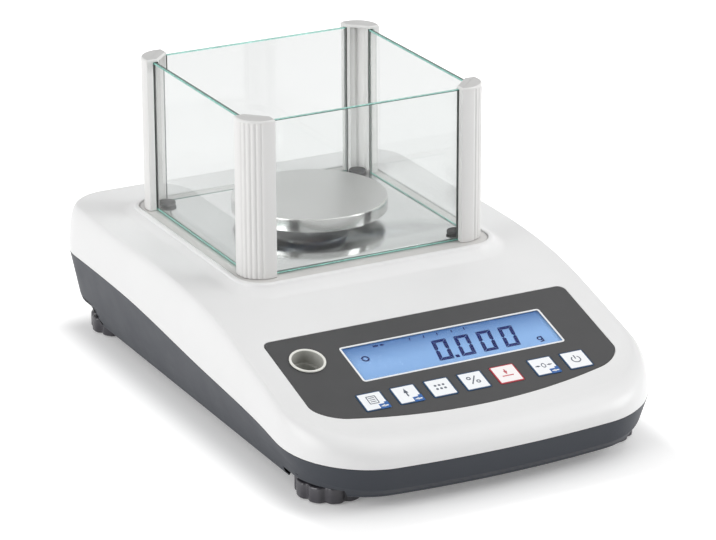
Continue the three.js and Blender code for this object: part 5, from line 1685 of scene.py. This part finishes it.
def make_keys():
    """Seven keys, each a cap with a printed border and face, its sign, and its plunger.
    Some have a blue tag in the lower right corner, with a small arrow on it."""
    p = sizes("panel")
    bottom, top = p.key_proud - KEY_CAP, p.key_proud
    face_top = top + 0.00004
    half = p.key_size / 2 / MM
    tag_flat = [(1.3, -half), (half, -half), (half, -1.9), (4.6, -1.9), (4.6, -3.0), (1.3, -3.0)]
    arrow_flats = [triangle(3.1, -4.8, 1.4, 180), bar(3.3, -4.8, 5.9, -4.8, 0.8)]
    for number in range(1, KEY_COUNT + 1):
        x, y = key_place(number)
        tare = number == TARE_KEY
        body, slot = f"key_body_{number}", "key_red" if tare else "key_white"

        def on_key(name, marks, low, up=0.0):
            print_on_key = marked(marks, low, low + PRINT, MM, x, y + up)
            return made(f"{name}_{number}", on_panel(print_on_key), 80)

        square = rounded_rectangle(p.key_size, p.key_size, p.key_radius, x, y)
        stem = slab(circle(STEM, x, y, 24), bottom - 0.0062, bottom + 0.0002)
        cap = made(f"key_cap_{number}", on_panel(joined(slab(square, bottom, top, 0.00012), stem)))
        border = "red border" if tare else "blue border"
        dress(cap, body, [border], [f"key_{number}"])
        inner = moved_in(square, p.key_border)
        face = made(f"key_face_{number}", on_panel(slab(inner, top, face_top)))
        dress(face, body, ["tare key face" if tare else "key face"])
        sign = on_key("key_sign", key_sign(number), face_top, 0.0004)
        dress(sign, body, ["red print" if tare else "dark print"])
        if number in SHIFT_KEYS:
            tag = on_key("key_tag", [np.array(tag_flat)], face_top)
            dress(tag, body, ["blue tag"])
            arrow = on_key("tag_arrow", arrow_flats, face_top + PRINT)
            dress(arrow, body, ["pale print"])


def make_level():
    """The level: a cup with a rounded flange, the vial's liquid, its ring and its bubble."""
    p = sizes("panel")
    x, y = level_place()
    slope = p.slope
    vial_r, vial_h = (VIAL_HIGH.x - VIAL_LOW.x) / 2, 0.0045
    tip = -(p.level_depth + vial_r * math.sin(slope) + p.gap)
    depth = -tip + (vial_h + p.gap) * math.cos(slope)
    bottom = -(depth + (vial_r + p.gap) * math.sin(slope) + 0.0014)
    bore, lift, floor = p.level_radius - p.level_wall, p.gap + FLANGE, -p.level_depth
    body = [(0.0, bottom), (p.level_radius, bottom), (p.level_radius, p.gap)]
    rim = [(p.level_flange, p.gap), (p.level_flange, lift), (bore, lift), (bore, floor)]
    profile = softened(body, 0.0003, 3) + softened(rim, 0.00045, 5) + [(0.0, floor)]
    cup = made("level_well", on_panel(turned(profile, 96, x, y)))
    room = [(vial_r + p.gap, -(vial_h + p.gap)), (vial_r + p.gap, vial_r)]
    upright = Matrix.Translation((x, y, tip)) @ Matrix.Rotation(-slope, 4, "X")
    carve(cup, [on_panel(placed(turned(room, 72), upright))])
    middle_of_rim = on_panel((np.array([[x, y, 0.0]]), []))[0]

    # Faces inside the well take a darker cream: painted shade
    def well(middle, normal):
        off_panel = (middle - middle_of_rim) @ [0, math.sin(-slope), math.cos(slope)]
        return off_panel < -0.0002

    finishes = ["level cream", "level shade"]
    dress(cup, "housing", finishes, ["level_cup"], well)
    x, y, _ = middle_of(VIAL_LOW, VIAL_HIGH)
    low, high = VIAL_LOW.z, VIAL_HIGH.z
    face = high - 0.0001
    side = [(0.0, low), (vial_r, low), (vial_r, high - 0.0003), (vial_r * 0.6, face), (0.0, face)]
    vial = made("vial_liquid", turned(softened(side, 0.0005), 72, x, y))
    dress(vial, "housing", ["level liquid"], ["level_vial"])
    outer, inner = 0.0026, 0.0023
    loop = [(outer, face), (outer, high), (inner, high), (inner, face)]
    mark = made("vial_ring", turned(loop, 64, x, y, loop=True))
    dress(mark, "housing", ["dark print"])
    r, turn = 0.0017, np.linspace(0, 1.45, 6)
    dome = [(r, face - 0.0001)] + [(r * math.cos(a), face + 0.00009 * math.sin(a)) for a in turn]
    bubble = made("vial_bubble", turned(dome, 40, x - 0.0004, y + 0.0003))
    dress(bubble, "housing", ["level bubble"])


def make_inside():
    """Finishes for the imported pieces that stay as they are, inside the housing."""
    kept = {
        "load_cell": "milled aluminium",
        "load_cell_base": "cast aluminium",
        "load_cell_spacer": "milled aluminium",
        "overload_stop": "bright steel",
        "pan_carrier": "cast aluminium",
        "main_board": "board green",
        "display_board": "board green",
        "display_ribbon": "cable grey",
        "lcd_backlight": "diffuser",
    }
    kept.update({f"foot_insert_{corner}": "brass" for corner in CORNERS})
    nodes = frame["nodes"]
    for name in kept:
        nodes[name].data.materials.clear()
        nodes[name].data.materials.append(finish(kept[name]))
    bare = [n for n, thing in nodes.items() if n not in kept and not thing.hide_render]
    if bare:
        raise RuntimeError(f"these packed pieces have no finish yet: {bare}")


# Stage

# Glow of the floor near the housing, kept low there to paint a tight contact shadow, and far from
# it, and how far out it grows
FLOOR_GLOW_IN_PAINTED_SHADOW, FLOOR_FAR, PAINTED_SHADOW_REACH = 0.20, 0.58, 0.022
FLOOR_THROUGH_GLASS = 0.30  # Share of the glow that is seen through glass
# The painted contact shadow reaches out from this plan, drawn in and moved forward
PLAN_INSET, PLAN_FORWARD = 0.008, 0.016  # Where the glow starts, against the tray's plan
FLOOR_HALF = 6.0
CARD_DISTANCE, CARD_SWEEP, CARD_HEIGHTS = 2.3, (-62, 14), (0.05, 1.7)
LAMP_SIZE = 1.3

# Place, aim and power in watts of the three soft lamps
LAMPS = {
    "left_lamp": ((-1.85, -0.3, 0.62), (0, -0.05, 0.05), 17.0),
    "right_lamp": ((1.6, -1.0, 0.95), (0, -0.05, 0.05), 18.0),
    "top_lamp": ((0.8, -0.15, 1.8), (0, 0, 0.05), 4.5),
}


def sheet(name, x, y, z, material):
    """An open sheet from the places of its points, as grids of rows and columns."""
    points = np.stack([x, y, z], -1)
    rows, columns = points.shape[:2]
    first = np.arange(rows - 1)[:, None] * columns + np.arange(columns - 1)[None, :]
    quads = np.stack([first, first + 1, first + columns + 1, first + columns], -1)
    mesh = bpy.data.meshes.new(name)
    mesh.from_pydata(points.reshape(-1, 3).tolist(), [], quads.reshape(-1, 4).tolist())
    mesh.materials.append(material)
    thing = linked(name, mesh)
    return thing


def make_backdrop():
    """A flat pale floor, and before the balance a dark curved card that only mirrors see,
    points of it at its distance times the sine and cosine of the angle."""
    reach = np.linspace(-FLOOR_HALF, FLOOR_HALF, 25)
    x, y = np.meshgrid(reach, reach)
    sheet("floor", x, y, 0 * x, floor_finish(sizes("stage").floor))
    turn = np.radians(np.linspace(*CARD_SWEEP, 23))
    turn, rise = np.meshgrid(turn, np.linspace(*CARD_HEIGHTS, 9), indexing="ij")
    x, y = CARD_DISTANCE * np.sin(turn), -CARD_DISTANCE * np.cos(turn)
    card = sheet("front_card", x, y, rise, finish("front card"))
    card.visible_camera = card.visible_transmission = card.visible_shadow = False


def make_light():
    """Even light all round, which looks white where it is seen, and three soft lamps."""
    scene = bpy.context.scene
    scene.world = scene.world or bpy.data.worlds.new("studio")
    scene.world.use_nodes = True
    tree = scene.world.node_tree
    tree.nodes.clear()
    white = {"Color": (1, 1, 1, 1)}
    shown = add_node(tree, "Background", white).outputs[0]
    even = add_node(tree, "Background", {**white, "Strength": sizes("stage").sky}).outputs[0]
    seen = either(tree, seen_directly(tree), even, shown)
    add_node(tree, "OutputWorld", {"Surface": seen})
    for name, (place, aim, power) in LAMPS.items():
        light = bpy.data.lights.new(name, "AREA")
        light.shape = "DISK"
        light.size = LAMP_SIZE
        light.energy = power
        lamp = linked(name, light)
        lamp.location = place
        direction = Vector(aim) - Vector(place)
        lamp.rotation_euler = direction.to_track_quat("-Z", "Y").to_euler()


def make_camera():
    """The camera at the photograph's angle: it stands off from its aim by the distance, is
    shifted to its right and up, and is rolled a little."""
    s = sizes("stage")
    data = bpy.data.cameras.new("camera")
    camera = linked("camera", data)
    data.lens, data.sensor_width, data.clip_end = s.lens, 36.0, 50.0
    a, e = s.azimuth, s.elevation
    back = Vector((math.sin(a) * math.cos(e), -math.cos(a) * math.cos(e), math.sin(e)))
    right = Vector((math.cos(a), math.sin(a), 0))
    up = back.cross(right)
    roll_cos, roll_sin = math.cos(s.roll), math.sin(s.roll)
    right, up = right * roll_cos + up * roll_sin, up * roll_cos - right * roll_sin
    aim = Vector((*pan_middle(), s.aim_height))
    place = aim + back * s.distance + right * s.aim_right + up * s.aim_up
    turn = Matrix((right, up, back)).transposed().to_4x4()
    camera.matrix_world = Matrix.Translation(place) @ turn
    bpy.context.scene.camera = camera


def seen_directly(tree):
    """1 for rays from the camera, in mirrors and through glass, 0 for the others."""
    value = ray(tree, "Is Camera Ray")
    for kind in ("Is Glossy Ray", "Is Transmission Ray"):
        value = add_node(tree, "Math", {0: value, 1: ray(tree, kind)}, "MAXIMUM").outputs[0]
    return value


def clear_of_housing(tree):
    """How far a point of the floor lies outside the tray's foot, drawn in from the housing's
    plan and moved forward: the length of what its offset from the middle has over half the
    foot's width and depth."""
    x, y, _ = middle_of(TRAY_LOW, TRAY_HIGH)
    value = own_place(tree)
    for operation, by in (
        ("SUBTRACT", (x, y - PLAN_FORWARD, 0)),
        ("ABSOLUTE", (0, 0, 0)),
        ("SUBTRACT", (TRAY_HIGH.x - x - PLAN_INSET, TRAY_HIGH.y - y - PLAN_INSET, 0)),
        ("MAXIMUM", (0, 0, 0)),
    ):
        value = add_node(tree, "VectorMath", {0: value, 1: by}, operation).outputs["Vector"]
    return add_node(tree, "VectorMath", {0: value}, "LENGTH").outputs["Value"]


def floor_finish(pale):
    """A matte pale floor that keeps the shadow. Where it is looked at it glows white, but much less
    near the housing, which paints a dark contact shadow there, and less through glass, which keeps
    its faint tone before it."""
    material, tree, shader = blank("floor paint")
    looks = {
        "Base Color": mottled(tree, (pale,) * 3, 0.005, 0, 5.0, 3.0),
        "Roughness": 0.9,
        "Specular IOR Level": 0.1,
    }
    feed(tree, shader, looks)
    # Painted contact shadow: the glow is low near the housing and grows out over a short reach
    lift = spread(tree, clear_of_housing(tree), FLOOR_GLOW_IN_PAINTED_SHADOW, FLOOR_FAR, 0, PAINTED_SHADOW_REACH)
    lift.node.interpolation_type = "SMOOTHSTEP"
    share = spread(tree, ray(tree, "Is Transmission Ray"), 1, FLOOR_THROUGH_GLASS, 0, 1)
    strength = add_node(tree, "Math", {0: lift, 1: share}, "MULTIPLY").outputs[0]
    glow = add_node(tree, "Emission", {"Strength": strength}).outputs[0]
    lit = add_node(tree, "AddShader", {0: shader.outputs[0], 1: glow}).outputs[0]
    surface(tree, either(tree, seen_directly(tree), shader.outputs[0], lit))
    return material


# Operators and their panel


class BALANCE_OT_stage(bpy.types.Operator):
    """Add the floor, the light and the camera"""

    bl_idname = "balance.stage"
    bl_label = "Stage"

    def execute(self, context):
        context.scene.view_settings.view_transform = "Standard"
        make_backdrop()
        make_light()
        make_camera()
        return {"FINISHED"}


class BALANCE_OT_cover(bpy.types.Operator):
    """Add the white cover"""

    bl_idname = "balance.cover"
    bl_label = "Cover"

    def execute(self, context):
        make_cover()
        return {"FINISHED"}


class BALANCE_OT_tray(bpy.types.Operator):
    """Add the dark tray, its plug and its screws"""

    bl_idname = "balance.tray"
    bl_label = "Tray"

    def execute(self, context):
        make_tray()
        make_bottom_fittings()
        return {"FINISHED"}


class BALANCE_OT_feet(bpy.types.Operator):
    """Add the four levelling feet"""

    bl_idname = "balance.feet"
    bl_label = "Levelling Feet"

    def execute(self, context):
        make_feet()
        return {"FINISHED"}


class BALANCE_OT_sockets(bpy.types.Operator):
    """Add the sockets at the rear"""

    bl_idname = "balance.sockets"
    bl_label = "Sockets"

    def execute(self, context):
        make_sockets()
        return {"FINISHED"}


class BALANCE_OT_posts(bpy.types.Operator):
    """Add the draft shield's posts and the dark strips of painted shade at their slots"""

    bl_idname = "balance.posts"
    bl_label = "Shield Posts"

    def execute(self, context):
        make_posts()
        return {"FINISHED"}


class BALANCE_OT_panes(bpy.types.Operator):
    """Add the draft shield's glass"""

    bl_idname = "balance.panes"
    bl_label = "Shield Glass"

    def execute(self, context):
        make_panes()
        return {"FINISHED"}


class BALANCE_OT_chamber(bpy.types.Operator):
    """Add the floor plate and the rubber studs"""

    bl_idname = "balance.chamber"
    bl_label = "Chamber Floor"

    def execute(self, context):
        make_chamber_floor()
        return {"FINISHED"}


class BALANCE_OT_pan(bpy.types.Operator):
    """Add the weighing pan"""

    bl_idname = "balance.pan"
    bl_label = "Weighing Pan"

    def execute(self, context):
        make_pan()
        return {"FINISHED"}


class BALANCE_OT_film(bpy.types.Operator):
    """Add the keypad film and the display window"""

    bl_idname = "balance.film"
    bl_label = "Keypad Film"

    def execute(self, context):
        make_film()
        return {"FINISHED"}


class BALANCE_OT_display(bpy.types.Operator):
    """Add the display and its digits"""

    bl_idname = "balance.display"
    bl_label = "Display"

    def execute(self, context):
        make_display()
        return {"FINISHED"}


class BALANCE_OT_keys(bpy.types.Operator):
    """Add the keys with their signs and tags"""

    bl_idname = "balance.keys"
    bl_label = "Keys"

    def execute(self, context):
        make_keys()
        return {"FINISHED"}


class BALANCE_OT_level(bpy.types.Operator):
    """Add the bubble level"""

    bl_idname = "balance.level"
    bl_label = "Bubble Level"

    def execute(self, context):
        make_level()
        return {"FINISHED"}


class BALANCE_OT_inside(bpy.types.Operator):
    """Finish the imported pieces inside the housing"""

    bl_idname = "balance.inside"
    bl_label = "Inner Parts"

    def execute(self, context):
        make_inside()
        return {"FINISHED"}


OPERATORS = (
    BALANCE_OT_stage,
    BALANCE_OT_cover,
    BALANCE_OT_tray,
    BALANCE_OT_feet,
    BALANCE_OT_sockets,
    BALANCE_OT_posts,
    BALANCE_OT_panes,
    BALANCE_OT_chamber,
    BALANCE_OT_pan,
    BALANCE_OT_film,
    BALANCE_OT_display,
    BALANCE_OT_keys,
    BALANCE_OT_level,
    BALANCE_OT_inside,
)
SETTINGS = {
    "balance_housing": BalanceHousing,
    "balance_tray": BalanceTray,
    "balance_feet": BalanceFeet,
    "balance_shield": BalanceShield,
    "balance_pan": BalancePan,
    "balance_panel": BalancePanel,
    "balance_colours": BalanceColours,
    "balance_stage": BalanceStage,
}


class BALANCE_PT_build(bpy.types.Panel):
    """Lists what the add-on builds"""

    bl_idname = "BALANCE_PT_build"
    bl_label = "Precision Balance"
    bl_space_type = "VIEW_3D"
    bl_region_type = "UI"
    bl_category = "Balance"

    def draw(self, context):
        for operator in OPERATORS:
            self.layout.operator(operator.bl_idname, text=operator.bl_label)


def register():
    for name, group in SETTINGS.items():
        bpy.utils.register_class(group)
        setattr(bpy.types.Scene, name, bpy.props.PointerProperty(type=group))
    for operator in OPERATORS:
        bpy.utils.register_class(operator)
    bpy.utils.register_class(BALANCE_PT_build)


def unregister():
    bpy.utils.unregister_class(BALANCE_PT_build)
    for operator in reversed(OPERATORS):
        bpy.utils.unregister_class(operator)
    for name, group in SETTINGS.items():
        delattr(bpy.types.Scene, name)
        bpy.utils.unregister_class(group)


def main():
    """Builds every piece in order."""
    register()
    bpy.ops.balance.stage()
    bpy.ops.balance.cover()
    bpy.ops.balance.tray()
    bpy.ops.balance.feet()
    bpy.ops.balance.sockets()
    bpy.ops.balance.posts()
    bpy.ops.balance.panes()
    bpy.ops.balance.chamber()
    bpy.ops.balance.pan()
    bpy.ops.balance.film()
    bpy.ops.balance.display()
    bpy.ops.balance.keys()
    bpy.ops.balance.level()
    bpy.ops.balance.inside()


if __name__ == "__main__":
    main()
